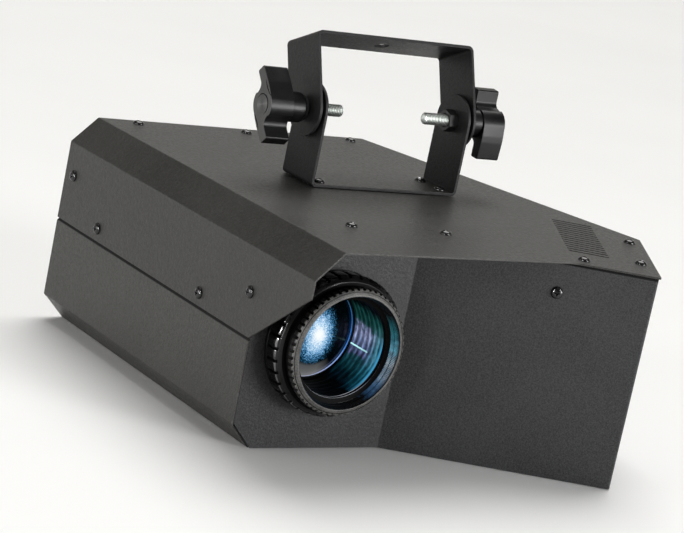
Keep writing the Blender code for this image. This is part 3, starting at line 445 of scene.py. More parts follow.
def powder(name, dark, light, rough=(0.42, 0.58), grain=1500.0, depth=0.00006, mottle=11.0, spec=0.5, gap=None):
    """Powder coat: orange-peel grain, fine sparkle and cloudy shade; gap, when given, paints a near-black band of shade
    over a height range.
    """
    k = Look(name)
    k.b.inputs["Specular IOR Level"].default_value = spec
    fine = k.noise(grain, 2.0, 0.6)
    peel = k.noise(grain * 0.42, 2.0, 0.5)
    cloud = k.noise(mottle, 3.0, 0.55)
    shade = k.calc('ADD', k.calc('MULTIPLY', fine, 0.68), k.calc('MULTIPLY', cloud, 0.32))
    colour = k.ramp(shade, [(0.38, dark), (0.62, light)])
    # gap: painted shade, a near-black band where a part sits in the shadow of an overhang or a seam.
    if gap:
        sep = k.node("ShaderNodeSeparateXYZ")
        k.wire(k.pos, sep.inputs[0])
        inside = k.span(sep.outputs[2], gap[0] * MM, gap[1] * MM)
        if len(gap) > 2:
            inside = k.calc('MULTIPLY', inside, k.span(sep.outputs[2], gap[3] * MM, gap[2] * MM))
        colour = k.blend(inside, colour, (0.0012, 0.0012, 0.0012))
    k.base(colour)
    gloss = k.span(k.calc('ADD', k.calc('MULTIPLY', peel, 0.6), k.calc('MULTIPLY', cloud, 0.4)), 0.3, 0.7, rough[0], rough[1])
    k.rough(k.calc('MAXIMUM', gloss, inside) if gap else gloss)
    first = k.bump(peel, depth, 0.7)
    k.normal(k.bump(fine, depth * 0.6, 0.7, first))
    return k.m


def worn_edge_and_highlight(name, dark, light, rough=(0.3, 0.5)):
    """The rounded edge of a coated sheet, thinner coat and rubbed in places, and painted lighter than the coat as a
    highlight along the edge.
    """
    k = Look(name)
    fine = k.noise(900.0, 2.0, 0.6)
    runs = k.noise(55.0, 3.0, 0.6)
    mix = k.calc('ADD', k.calc('MULTIPLY', fine, 0.35), k.calc('MULTIPLY', runs, 0.65))
    k.base(k.ramp(mix, [(0.38, dark), (0.60, light)]))
    k.rough(k.span(fine, 0.3, 0.7, rough[0], rough[1]))
    k.normal(k.bump(fine, 0.00003, 0.6))
    return k.m


def plastic(name, dark, light, rough=(0.3, 0.45), grain=1800.0, depth=0.00002):
    k = Look(name)
    fine = k.noise(grain, 2.0, 0.55)
    cloud = k.noise(60.0, 2.0, 0.5)
    k.base(k.ramp(cloud, [(0.35, dark), (0.65, light)]))
    k.rough(k.span(k.calc('ADD', k.calc('MULTIPLY', fine, 0.4), k.calc('MULTIPLY', cloud, 0.6)), 0.3, 0.7, rough[0], rough[1]))
    k.normal(k.bump(fine, depth, 0.6))
    return k.m


def zinc_thread_look():
    """Zinc plate, bright on the crests of the thread, with painted shade in its grooves."""
    k = Look("zinc_plate", Metallic=1.0)
    sep = k.node("ShaderNodeSeparateXYZ")
    k.wire(k.pos, sep.inputs[0])
    y = k.calc('SUBTRACT', sep.outputs[1], (PIVOT_Y - ORIGIN_Y) * MM)
    z = k.calc('SUBTRACT', sep.outputs[2], PIVOT_Z * MM)
    out = k.calc('SQRT', k.calc('ADD', k.calc('MULTIPLY', y, y), k.calc('MULTIPLY', z, z)))
    crest = k.span(out, 3.62 * MM, 3.92 * MM)
    fine = k.noise(600.0, 3.0, 0.6)
    plate_tone = k.ramp(fine, [(0.35, (0.62, 0.67, 0.63)), (0.65, (0.92, 0.94, 0.90))])
    # The grooves get a much darker colour: painted shade down in the thread.
    groove_painted_shade = k.ramp(fine, [(0.35, (0.15, 0.18, 0.17)), (0.65, (0.26, 0.29, 0.28))])
    k.base(k.blend(crest, groove_painted_shade, plate_tone))
    k.rough(k.span(fine, 0.3, 0.7, 0.38, 0.50))
    k.normal(k.bump(fine, 0.00001, 0.7))
    return k.m


def metal(name, dark, light, rough=(0.2, 0.4), scale=500.0, stretch=None, depth=0.00001, metallic=1.0):
    k = Look(name, Metallic=metallic)
    fine = k.noise(scale, 3.0, 0.6, stretch)
    cloud = k.noise(70.0, 3.0, 0.6)
    k.base(k.ramp(k.calc('ADD', k.calc('MULTIPLY', fine, 0.5), k.calc('MULTIPLY', cloud, 0.5)), [(0.35, dark), (0.65, light)]))
    k.rough(k.span(k.calc('ADD', k.calc('MULTIPLY', fine, 0.6), k.calc('MULTIPLY', cloud, 0.4)), 0.3, 0.7, rough[0], rough[1]))
    k.normal(k.bump(fine, depth, 0.7))
    return k.m


# Near-black colour for the walls of the vent slots: painted shade inside the slots.
slot_painted_shade = plastic("vent_slot_wall_painted_shade", (0.003, 0.003, 0.003), (0.008, 0.008, 0.008), (0.5, 0.7), 1200.0, 0.00003)
# The same black powder coat gets a different tone on each part, darker on the cover, front panel and brackets and
# lighter on the tray, to match how lit or shaded each part looks: painted light and shade.
top_coat = powder("powder_coat_cover", (0.015, 0.0148, 0.0134), (0.037, 0.036, 0.033), (0.33, 0.55), 1050.0, 0.00030, 9.0, 0.42)
coat = powder("powder_coat_black", (0.022, 0.0215, 0.0195), (0.050, 0.0485, 0.0445), (0.38, 0.62), 1050.0, 0.00032, 9.0, 0.42)
# The tray's coat paints a near-black band of shade in the seam below the cover's side, about 68 to 70 mm up.
tray_coat_painted_seam_shade = powder("powder_coat_tray", (0.027, 0.0264, 0.024), (0.060, 0.0585, 0.0537), (0.38, 0.62), 1050.0, 0.00032, 9.0, 0.42,
                   (67.6, 68.2, 70.2, 70.8))
# Edge materials are several times lighter than their coats: partly wear, partly a painted highlight along the bevels.
coat_edge = worn_edge_and_highlight("powder_coat_edge", (0.07, 0.069, 0.066), (0.15, 0.148, 0.142))
# The front coat paints near-black shade along the panel's top, above 136.9 mm, under the cover's overhang.
front_coat_painted_gap_shade = powder("powder_coat_front", (0.008, 0.008, 0.0088), (0.040, 0.040, 0.0432), (0.38, 0.62), 1150.0, 0.00024, 8.0, 0.34, (136.4, 136.9))
# Painted edge highlight of the front panel, partly wear.
front_edge = worn_edge_and_highlight("powder_coat_front_edge", (0.05, 0.05, 0.052), (0.10, 0.10, 0.105))
bracket_coat = powder("bracket_coat", (0.004, 0.004, 0.0042), (0.020, 0.020, 0.0205), (0.36, 0.56), 1150.0, 0.00018, 12.0, 0.24)
# Painted edge highlight of the brackets, far lighter than their coat, partly wear.
bracket_edge = worn_edge_and_highlight("bracket_edge", (0.10, 0.101, 0.102), (0.26, 0.262, 0.265))
nut_black = powder("black_nut", (0.010, 0.010, 0.011), (0.022, 0.022, 0.023), (0.3, 0.5), 900.0, 0.00003)
screw_black = metal("black_oxide", (0.004, 0.004, 0.0042), (0.012, 0.012, 0.0125), (0.10, 0.17), 700.0, None, 0.000006, 0.0)
screw_black.node_tree.nodes["Principled BSDF"].inputs["Specular IOR Level"].default_value = 0.55
screw_recess = plastic("black_recess", (0.004, 0.004, 0.004), (0.010, 0.010, 0.010), (0.4, 0.6))
nylon = plastic("black_nylon", (0.004, 0.004, 0.0045), (0.008, 0.008, 0.0085), (0.26, 0.38), 1300.0, 0.00003)
nylon.node_tree.nodes["Principled BSDF"].inputs["Specular IOR Level"].default_value = 0.24
nylon_face = plastic("nylon_end_face", (0.030, 0.030, 0.030), (0.060, 0.060, 0.059), (0.34, 0.5), 1100.0, 0.00004)
zinc = zinc_thread_look()
zinc_end = metal("zinc_cut_end", (0.55, 0.60, 0.57), (0.86, 0.89, 0.86), (0.36, 0.50), 600.0)
rubber = plastic("friction_rubber", (0.008, 0.008, 0.008), (0.016, 0.016, 0.016), (0.6, 0.8), 1200.0, 0.00005)
lens_black = plastic("lens_black", (0.0025, 0.0025, 0.0025), (0.005, 0.005, 0.0055), (0.30, 0.42), 1500.0, 0.00002)
lens_black.node_tree.nodes["Principled BSDF"].inputs["Specular IOR Level"].default_value = 0.16
lens_velvet = plastic("lens_velvet", (0.001, 0.001, 0.001), (0.0025, 0.0025, 0.003), (0.5, 0.65), 1300.0, 0.00003)
lens_velvet.node_tree.nodes["Principled BSDF"].inputs["Specular IOR Level"].default_value = 0.05
lens_gloss = plastic("lens_gloss", (0.002, 0.002, 0.002), (0.005, 0.005, 0.0055), (0.14, 0.22), 1200.0, 0.00002)
lens_gloss.node_tree.nodes["Principled BSDF"].inputs["Specular IOR Level"].default_value = 0.32
lens_rim = plastic("lens_rim", (0.004, 0.004, 0.004), (0.010, 0.010, 0.0105), (0.16, 0.26), 1300.0, 0.00002)
lens_rim.node_tree.nodes["Principled BSDF"].inputs["Specular IOR Level"].default_value = 0.22
# Lighter metallic colour for the front bevels of the lugs: a painted highlight on black plastic, partly edge wear.
lug_edge_painted_highlight = metal("lens_lug_edge", (0.05, 0.05, 0.051), (0.30, 0.30, 0.305), (0.16, 0.28), 420.0, None, 0.000008)
ring_skirt = metal("front_ring_skirt", (0.006, 0.006, 0.006), (0.034, 0.0335, 0.0325), (0.36, 0.52), 1150.0, None, 0.00010, 0.0)
ring_skirt.node_tree.nodes["Principled BSDF"].inputs["Specular IOR Level"].default_value = 0.20
ring_grey = metal("front_ring_grey", (0.022, 0.0215, 0.021), (0.150, 0.147, 0.141), (0.40, 0.60), 1150.0, None, 0.00022, 0.1)
aluminium = metal("aluminium", (0.50, 0.50, 0.51), (0.68, 0.69, 0.70), (0.26, 0.44), 260.0, (1.0, 1.0, 7.0), 0.00002)
heatsink_black = metal("black_anodised", (0.018, 0.018, 0.019), (0.035, 0.035, 0.037), (0.3, 0.5), 240.0, (1.0, 1.0, 8.0), 0.00002, 0.5)
steel = metal("motor_steel", (0.34, 0.34, 0.35), (0.52, 0.52, 0.53), (0.24, 0.42), 420.0)
nickel = metal("contact_nickel", (0.55, 0.53, 0.48), (0.80, 0.78, 0.72), (0.16, 0.30), 600.0)
moulded = plastic("moulded_black", (0.012, 0.012, 0.013), (0.022, 0.022, 0.023), (0.38, 0.54), 1200.0, 0.00004)
moulded_soft = plastic("button_grey", (0.060, 0.060, 0.062), (0.095, 0.095, 0.098), (0.40, 0.55), 1100.0, 0.00004)


def board_look():
    k = Look("board_green")
    tracks = k.noise(160.0, 1.0, 0.3)
    cloud = k.noise(50.0, 2.0, 0.5)
    lines = k.ramp(tracks, [(0.47, (0.012, 0.085, 0.035)), (0.49, (0.020, 0.150, 0.062)), (0.55, (0.014, 0.100, 0.042))])
    k.base(k.blend(k.span(cloud, 0.3, 0.7, 0.0, 0.35), lines, (0.03, 0.12, 0.05)))
    k.rough(k.span(tracks, 0.4, 0.6, 0.28, 0.42))
    k.normal(k.bump(tracks, 0.00005, 0.5))
    return k.m


board = board_look()


def window_look():
    k = Look("display_window", Coat_Weight=1.0, Coat_Roughness=0.03)
    fine = k.noise(900.0, 2.0, 0.5)
    k.base(k.ramp(fine, [(0.3, (0.006, 0.003, 0.003)), (0.7, (0.012, 0.005, 0.005))]))
    k.rough(k.span(fine, 0.3, 0.7, 0.05, 0.09))
    k.normal(k.bump(fine, 0.000004, 0.4))
    return k.m


def digit_look():
    k = Look("display_digits")
    fine = k.noise(1500.0, 2.0, 0.5)
    k.base(k.ramp(fine, [(0.3, (0.050, 0.026, 0.024)), (0.7, (0.080, 0.040, 0.036))]))
    k.rough(k.span(fine, 0.3, 0.7, 0.18, 0.28))
    k.normal(k.bump(fine, 0.000006, 0.4))
    return k.m


def around_lens(k):
    """Place on the lens: across, up, turn about its axis and depth, in mm."""
    sep = k.node("ShaderNodeSeparateXYZ")
    k.wire(k.pos, sep.inputs[0])
    across = k.calc('MULTIPLY', k.calc('SUBTRACT', sep.outputs[0], (LENS_X - ORIGIN_X) * MM), 1000.0)
    up = k.calc('MULTIPLY', k.calc('SUBTRACT', sep.outputs[2], LENS_Z * MM), 1000.0)
    depth = k.calc('MULTIPLY', k.calc('ADD', sep.outputs[1], ORIGIN_Y * MM), 1000.0)
    turn = k.calc('DIVIDE', k.calc('ARCTAN2', up, k.calc('ABSOLUTE', across)), math.pi / 180)
    return across, up, turn, depth


def polar_noise(k, turn, depth, per_turn, per_depth, detail=2.0):
    """Noise that is laid out by the turn about the lens axis and by depth."""
    c = k.node("ShaderNodeCombineXYZ")
    k.wire(k.calc('MULTIPLY', turn, per_turn), c.inputs[0])
    k.wire(k.calc('MULTIPLY', depth, per_depth), c.inputs[1])
    n = k.node("ShaderNodeTexNoise")
    n.inputs["Scale"].default_value = 1.0
    n.inputs["Detail"].default_value = detail
    k.wire(c.outputs[0], n.inputs["Vector"])
    return n.outputs["Fac"]


def by_turn(stops):
    """Ramp stops from (degrees, colour)."""
    return [((d + 90.0) / 180.0, c) for d, c in stops]


def tube_look():
    """Ridged tube wall with a painted blue and green glow that stands for the reflections in a coated lens."""
    k = Look("tube_painted_glow")
    k.b.inputs["Specular IOR Level"].default_value = 0.05
    across, up, turn, depth = around_lens(k)
    fine = k.noise(900.0, 2.0, 0.6)
    k.base(k.ramp(fine, [(0.3, (0.002, 0.003, 0.003)), (0.7, (0.006, 0.007, 0.008))]))
    k.rough(k.span(fine, 0.3, 0.7, 0.30, 0.45))
    k.normal(k.bump(fine, 0.00001, 0.5))
    wander = polar_noise(k, turn, depth, 0.10, 0.22)
    t = k.span(k.calc('ADD', turn, k.span(wander, 0.25, 0.75, -7.0, 7.0)), -90.0, 90.0)
    deep = k.ramp(t, by_turn([(-62, (0, 0, 0)), (-50, (0.001, 0.008, 0.014)), (-40, (0.003, 0.030, 0.042)), (-30, (0.008, 0.060, 0.080)),
                              (-24, (0.020, 0.075, 0.110)), (-20, (0.080, 0.095, 0.220)), (-13, (0.110, 0.150, 0.310)),
                              (-5, (0.190, 0.250, 0.450)), (3, (0.340, 0.400, 0.660)), (9, (0.260, 0.300, 0.520)), (13, (0.040, 0.100, 0.130)),
                              (18, (0.009, 0.062, 0.060)), (30, (0.007, 0.056, 0.050)), (38, (0.003, 0.026, 0.026)), (45, (0, 0, 0))]))
    near = k.ramp(t, by_turn([(-66, (0, 0, 0)), (-56, (0.002, 0.030, 0.055)), (-44, (0.006, 0.080, 0.120)), (-30, (0.020, 0.150, 0.230)),
                              (-16, (0.090, 0.320, 0.470)), (-6, (0.060, 0.220, 0.310)), (6, (0.100, 0.270, 0.370)), (14, (0.030, 0.140, 0.150)),
                              (26, (0.010, 0.085, 0.080)), (36, (0.002, 0.020, 0.020)), (42, (0, 0, 0))]))
    hue = k.blend(k.span(depth, 55.0, 47.0), deep, near)
    slip = polar_noise(k, turn, depth, 0.05, 0.12)
    wave = k.calc('SINE', k.calc('ADD', k.calc('MULTIPLY', depth, 2 * math.pi / 4.9), k.span(slip, 0.2, 0.8, -1.1, 1.1)))
    ridge = k.span(wave, -0.9, 1.0, 0.30, 1.0)
    patch = k.span(polar_noise(k, turn, depth, 0.13, 0.45, 3.0), 0.30, 0.70, 0.45, 1.45)
    lit = k.blend(1.0, hue, k.calc('MULTIPLY', ridge, patch), 'MULTIPLY')
    # rim paints a blue band of light near the mouth; line and spark paint a bright highlight line along the wall.
    rim = k.calc('MULTIPLY', k.span(depth, 43.4, 42.2), k.calc('MULTIPLY', k.span(turn, -64.0, -40.0), k.span(turn, 12.0, -4.0)))
    lit = k.blend(rim, lit, (0.050, 0.300, 0.520))
    line = k.calc('MULTIPLY', k.calc('COMPARE', turn, -13.2, 0.85), k.calc('COMPARE', depth, 63.0, 9.5))
    spark = k.calc('MULTIPLY', line, k.span(depth, 53.0, 66.0, 0.45, 1.0))
    lit = k.blend(spark, lit, (0.50, 0.97, 1.0))
    # The painted colour is given as emission: the wall glows though no lamp lights it.
    k.wire(lit, k.b.inputs["Emission Color"])
    k.b.inputs["Emission Strength"].default_value = 1.0
    return k.m


def mouth_look():
    """Fine filter thread inside the mouth, with the same painted glow standing for reflections."""
    k = Look("mouth_painted_glow")
    k.b.inputs["Specular IOR Level"].default_value = 0.15
    across, up, turn, depth = around_lens(k)
    fine = k.noise(1000.0, 2.0, 0.6)
    k.base(k.ramp(fine, [(0.3, (0.002, 0.002, 0.003)), (0.7, (0.005, 0.006, 0.007))]))
    k.rough(k.span(fine, 0.3, 0.7, 0.25, 0.38))
    k.normal(k.bump(fine, 0.00001, 0.5))
    wander = polar_noise(k, turn, depth, 0.14, 0.25)
    t = k.span(k.calc('ADD', turn, k.span(wander, 0.25, 0.75, -6.0, 6.0)), -90.0, 90.0)
    hue = k.ramp(t, by_turn([(-58, (0, 0, 0)), (-50, (0.010, 0.035, 0.080)), (-38, (0.028, 0.075, 0.150)), (-28, (0.040, 0.100, 0.170)),
                             (-14, (0.045, 0.105, 0.160)), (-4, (0.060, 0.180, 0.260)), (4, (0.070, 0.240, 0.330)), (12, (0.020, 0.110, 0.150)),
                             (22, (0.012, 0.095, 0.115)), (32, (0.004, 0.040, 0.050)), (42, (0, 0, 0))]))
    hatch = k.calc('SINE', k.calc('ADD', k.calc('MULTIPLY', depth, 4.2), k.calc('MULTIPLY', turn, 1.9)))
    here = k.calc('MULTIPLY', k.span(turn, -30.0, -24.0), k.span(turn, 1.0, -5.0))
    stripes = k.blend(here, 1.0, k.span(hatch, -0.6, 0.8, 0.25, 1.25))
    patch = k.span(polar_noise(k, turn, depth, 0.22, 0.5, 3.0), 0.3, 0.7, 0.55, 1.3)
    level = k.calc('MULTIPLY', patch, k.span(depth, 29.2, 32.0, 0.15, 1.0))
    # hue, stripes and level paint reflections on the thread, given as emission.
    k.wire(k.blend(1.0, k.blend(1.0, hue, stripes, 'MULTIPLY'), level, 'MULTIPLY'), k.b.inputs["Emission Color"])
    k.b.inputs["Emission Strength"].default_value = 1.0
    return k.m


def glass_look():
    """Dark coated glass with a painted glow in its middle for light from behind, a painted frosty sparkle and a painted
    grey crescent low down.
    """
    k = Look("coated_glass")
    k.b.inputs["Specular IOR Level"].default_value = 0.08
    across, up, turn, depth = around_lens(k)
    fine = k.noise(900.0, 2.0, 0.6)
    k.base(k.ramp(fine, [(0.3, (0.002, 0.003, 0.005)), (0.7, (0.004, 0.006, 0.009))]))
    k.rough(k.span(fine, 0.3, 0.7, 0.16, 0.24))
    k.normal(k.bump(fine, 0.000003, 0.4))
    a = k.calc('DIVIDE', across, 13.6)
    b = k.calc('DIVIDE', k.calc('ADD', up, 0.6), 20.5)
    r = k.calc('SQRT', k.calc('ADD', k.calc('MULTIPLY', a, a), k.calc('MULTIPLY', b, b)))
    speck = k.noise(1300.0, 3.0, 0.8)
    drops = k.noise(380.0, 2.0, 0.6)
    rr = k.calc('ADD', r, k.calc('ADD', k.span(speck, 0.25, 0.75, -0.42, 0.42), k.span(drops, 0.2, 0.8, -0.12, 0.12)))
    hue = k.ramp(rr, [(0.02, (0.90, 0.97, 1.0)), (0.28, (0.62, 0.78, 0.93)), (0.48, (0.30, 0.54, 0.78)),
                      (0.66, (0.070, 0.240, 0.480)), (0.80, (0.010, 0.080, 0.160)), (0.92, (0.0, 0.008, 0.014)), (1.0, (0.0, 0.0, 0.0))])
    # stars: painted sparkle.
    stars = k.calc('MULTIPLY', k.span(k.cells(420.0), 0.16, 0.06), k.span(r, 0.95, 0.55))
    stars = k.calc('MULTIPLY', stars, k.span(k.noise(260.0, 1.0, 0.5), 0.50, 0.56))
    hue = k.blend(stars, hue, (0.86, 0.97, 1.0))
    # heart: a painted white glow at the middle.
    heart = k.calc('SQRT', k.calc('ADD', k.calc('MULTIPLY', across, across), k.calc('MULTIPLY', up, up)))
    hue = k.blend(k.span(heart, 5.2, 1.2, 0.0, 0.9), hue, (0.96, 0.99, 1.0))
    # low and grey: a painted grey crescent of light on the low edge.
    low = k.calc('MULTIPLY', k.span(heart, 19.4, 21.6), k.span(turn, -50.0, -72.0))
    grey = k.ramp(k.span(heart, 20.0, 29.0), [(0.0, (0.060, 0.064, 0.066)), (0.7, (0.115, 0.118, 0.118)), (1.0, (0.150, 0.152, 0.155))])
    hue = k.blend(low, hue, grey)
    # All of it is given as emission: the glass glows though no lamp is behind it.
    k.wire(hue, k.b.inputs["Emission Color"])
    k.b.inputs["Emission Strength"].default_value = 1.0
    return k.m


def lip_look():
    """Dark turned lip inside the tube, with a painted highlight glowing along its bottom."""
    k = Look("tube_lip")
    across, up, turn, depth = around_lens(k)
    fine = k.noise(700.0, 2.0, 0.6)
    k.base(k.ramp(fine, [(0.3, (0.02, 0.02, 0.021)), (0.7, (0.05, 0.05, 0.052))]))
    k.rough(k.span(fine, 0.3, 0.7, 0.25, 0.40))
    k.normal(k.bump(fine, 0.00001, 0.5))
    t = k.span(turn, -90.0, 90.0)
    # Painted highlight: grey emission on the low side of the lip only.
    hue = k.ramp(t, by_turn([(-88, (0.26, 0.27, 0.29)), (-72, (0.42, 0.44, 0.47)), (-58, (0.34, 0.36, 0.40)), (-44, (0.10, 0.12, 0.15)), (-34, (0, 0, 0))]))
    k.wire(k.blend(1.0, hue, k.span(fine, 0.3, 0.7, 0.6, 1.0), 'MULTIPLY'), k.b.inputs["Emission Color"])
    k.b.inputs["Emission Strength"].default_value = 1.0
    return k.m


def keeper_painted_glow_look():
    """Thin lip of the ring that keeps the glass, with a painted blue glow standing for its reflection."""
    k = Look("retaining_ring_painted_glow")
    across, up, turn, depth = around_lens(k)
    fine = k.noise(800.0, 2.0, 0.6)
    k.base(k.ramp(fine, [(0.3, (0.004, 0.005, 0.006)), (0.7, (0.010, 0.011, 0.014))]))
    k.rough(k.span(fine, 0.3, 0.7, 0.25, 0.38))
    k.normal(k.bump(fine, 0.00001, 0.5))
    t = k.span(turn, -90.0, 90.0)
    # Painted reflection: blue emission that changes with the turn about the axis.
    hue = k.ramp(t, by_turn([(-85, (0.36, 0.39, 0.50)), (-60, (0.34, 0.42, 0.72)), (-38, (0.26, 0.44, 0.92)), (-22, (0.09, 0.30, 0.82)),
                             (-6, (0.035, 0.20, 0.66)), (18, (0.020, 0.13, 0.40)), (34, (0.030, 0.12, 0.24)), (50, (0.006, 0.03, 0.05)), (62, (0, 0, 0))]))
    k.wire(k.blend(1.0, hue, k.span(fine, 0.3, 0.7, 0.7, 1.0), 'MULTIPLY'), k.b.inputs["Emission Color"])
    k.b.inputs["Emission Strength"].default_value = 1.0
    return k.m


def clear_glass_look():
    k = Look("condenser_glass", Transmission_Weight=0.9, IOR=1.5)
    fine = k.noise(600.0, 2.0, 0.6)
    k.base(k.ramp(fine, [(0.3, (0.86, 0.92, 0.96)), (0.7, (0.93, 0.97, 1.0))]))
    k.rough(k.span(fine, 0.3, 0.7, 0.02, 0.06))
    k.normal(k.bump(fine, 0.000002, 0.4))
    return k.m


def spun_face_look():
    """Turned end face: fine concentric marks about the bolt's axis, and a bow-tie sheen painted into its colour."""
    k = Look("spun_face")
    sep = k.node("ShaderNodeSeparateXYZ")
    k.wire(k.pos, sep.inputs[0])
    y = k.calc('SUBTRACT', sep.outputs[1], (PIVOT_Y - ORIGIN_Y) * MM)
    z = k.calc('SUBTRACT', sep.outputs[2], PIVOT_Z * MM)
    r = k.calc('SQRT', k.calc('ADD', k.calc('MULTIPLY', y, y), k.calc('MULTIPLY', z, z)))
    marks = k.calc('SINE', k.calc('MULTIPLY', r, 15000.0))
    # fan paints a bow-tie sheen: lighter and darker sectors around the axis.
    fan = k.calc('ABSOLUTE', k.calc('SINE', k.calc('ADD', k.calc('ARCTAN2', z, y), 0.35)))
    fine = k.noise(900.0, 2.0, 0.6)
    k.base(k.ramp(k.calc('ADD', k.calc('MULTIPLY', fan, 0.75), k.calc('MULTIPLY', fine, 0.25)),
                  [(0.15, (0.11, 0.11, 0.11)), (0.45, (0.060, 0.060, 0.060)), (0.85, (0.030, 0.030, 0.030))]))
    k.rough(k.span(fine, 0.3, 0.7, 0.34, 0.48))
    k.normal(k.bump(marks, 0.00002, 0.6))
    return k.m


tube_painted_glow, mouth_painted_glow, glass_painted_glow, ring_painted_glow = tube_look(), mouth_look(), glass_look(), keeper_painted_glow_look()
lip_painted_highlight = lip_look()
clear_glass, spun_face, window_black, digit_dark = clear_glass_look(), spun_face_look(), window_look(), digit_look()

# --------------------------------------------------------------- housing data
XZ = axes((0, 0, 0), (0, -1, 0), (1, 0, 0))
YZ = axes((0, 0, 0), (1, 0, 0), (0, 1, 0))
LENS_AXIS = axes((LENS_X, 0, LENS_Z), (0, -1, 0), (1, 0, 0))
WING = (Vector(TIP) - Vector(KINK)).normalized()
WING_IN_DIR = Vector((-WING.y, WING.x))
SIDE = (Vector(PLAN_E) - Vector(PLAN_D)).normalized()
SIDE_IN_DIR = Vector((-SIDE.y, SIDE.x))
WING_TURN = math.atan2(WING.y, WING.x)
SIDE_TURN = math.atan2(SIDE.y, SIDE.x)
CORNER_E = tuple(Vector(TIP) + SIDE * 104.4)

TOP_SCREWS = {"cover_screw_rear_left": (25.0, 299.2), "cover_screw_rear_mid": (110.0, 297.6),
              "cover_screw_rear_right": (198.8, 299.2), "cover_screw_front_left": (44.0, 61.5),
              "cover_screw_front_mid": (109.8, 54.4), "cover_screw_vent": (184.6, 9.4),
              "cover_screw_tip": (229.2, 7.2), "cover_screw_corner": (261.2, 57.4)}
SIDE_SCREWS = {"side_screw_rear_upper": (297.6, 101.6), "side_screw_rear_lower": (254.0, 78.0),
               "side_screw_front_lower": (117.9, 77.8), "side_screw_front_upper": (62.8, 96.0)}
BRACKET_SCREWS = {"bracket_screw_front_left": (81.5, 158.6), "bracket_screw_rear_left": (81.5, 179.4),
                  "bracket_screw_front_right": (178.6, 159.6), "bracket_screw_rear_right": (177.4, 180.6)}
INLET, DMX_IN, DMX_OUT, DISPLAY = (178.0, 36.0), (30.0, 40.0), (66.0, 40.0), (118.0, 101.0)
BUTTONS = {"button_mode": 92.0, "button_down": 109.0, "button_up": 126.0, "button_enter": 143.0}
BUTTON_Z = 77.0


def wing_point(along, behind):
    p = Vector(KINK) + WING * along + WING_IN_DIR * behind
    return (p.x, p.y)


def at_rear(x, z):
    return axes((x, HOUSING_D, z), (0, 1, 0), (-1, 0, 0))


WX, WY = wing_point(88.4, 0.0)
WING_SCREW_Z = 118.5


# --------------------------------------------------------------------- screws
def cross_tool(top, bottom, z_top, z_bottom):
    """Phillips recess: a cross that narrows towards its bottom."""
    a, t, b = 0.60, 0.40, 2.05
    loop = [(a, a), (b, t), (b, -t), (a, -a), (t, -b), (-t, -b), (-a, -a), (-b, -t), (-b, t), (-a, a), (-t, b), (t, b)]
    rows = [[(0.0, 0.0, z_top * MM)]]
    for s, z in ((top, z_top), (bottom, z_bottom)):
        rows.append([(x * s * MM, y * s * MM, z * MM) for x, y in loop])
    rows.append([(0.0, 0.0, (z_bottom - 0.25) * MM)])
    return work("cross", rings(rows, 12, False), Matrix(), Matrix())


def screw_mesh(length):
    head = [(0, 2.36), (0.8, 2.33), (1.5, 2.23), (2.1, 2.07), (2.6, 1.87), (3.0, 1.64), (3.35, 1.36), (3.62, 1.03), (3.80, 0.70),
            (3.89, 0.38), (3.90, 0.18), (3.84, 0.05), (SCREW_R, 0.05), (SCREW_R, -length), (0, -length)]
    ob = turned(head, Matrix(), 48, Matrix())
    cut(ob, cross_tool(1.25, 0.42, 2.9, 0.95))
    me = settle(ob)
    me.materials.clear()
    me.materials.append(screw_black)
    me.materials.append(screw_recess)
    for p in me.polygons:
        c = p.center
        inside = math.hypot(c.x, c.y) < 2.3 * MM and c.z < 2.1 * MM and c.z > 0.2 * MM
        p.material_index = 1 if inside and abs(p.normal.z) < 0.9 and c.z < 1.75 * MM else 0
    me.shade_smooth()
    me.set_sharp_from_angle(angle=math.radians(32))
    return me


SCREW_SHORT, SCREW_LONG = screw_mesh(7.0), screw_mesh(9.0)


def screw(name, matrix, me):
    ob = bpy.data.objects.new(name + "_pan_head", me)
    SCENE.collection.objects.link(ob)
    ob.matrix_world = ROOT @ matrix
    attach(ob, "housing")
    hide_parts(name)


def up_at(x, y, z, turn=0.34):
    return axes((x, y, z), (0, 0, 1), (math.cos(turn), math.sin(turn), 0))


for i, (n, (x, y)) in enumerate(TOP_SCREWS.items()):
    screw(n, up_at(x, y, HOUSING_H, 0.10 + 0.12 * (i % 3)), SCREW_SHORT)
for i, (n, (y, z)) in enumerate(SIDE_SCREWS.items()):
    screw(n, axes((SIDE_X, y, z), (-1, 0, 0), (0, 1, 0.08 * (i % 3 - 1))), SCREW_SHORT)
for i, (n, (x, y)) in enumerate(BRACKET_SCREWS.items()):
    screw(n, up_at(x, y, HOUSING_H + GAP + STRAP_T, 0.2 * i), SCREW_LONG)
screw("wing_panel_screw", axes((WX, WY, WING_SCREW_Z), (-WING_IN_DIR.x, -WING_IN_DIR.y, 0), (0, 0, 1)), SCREW_LONG)

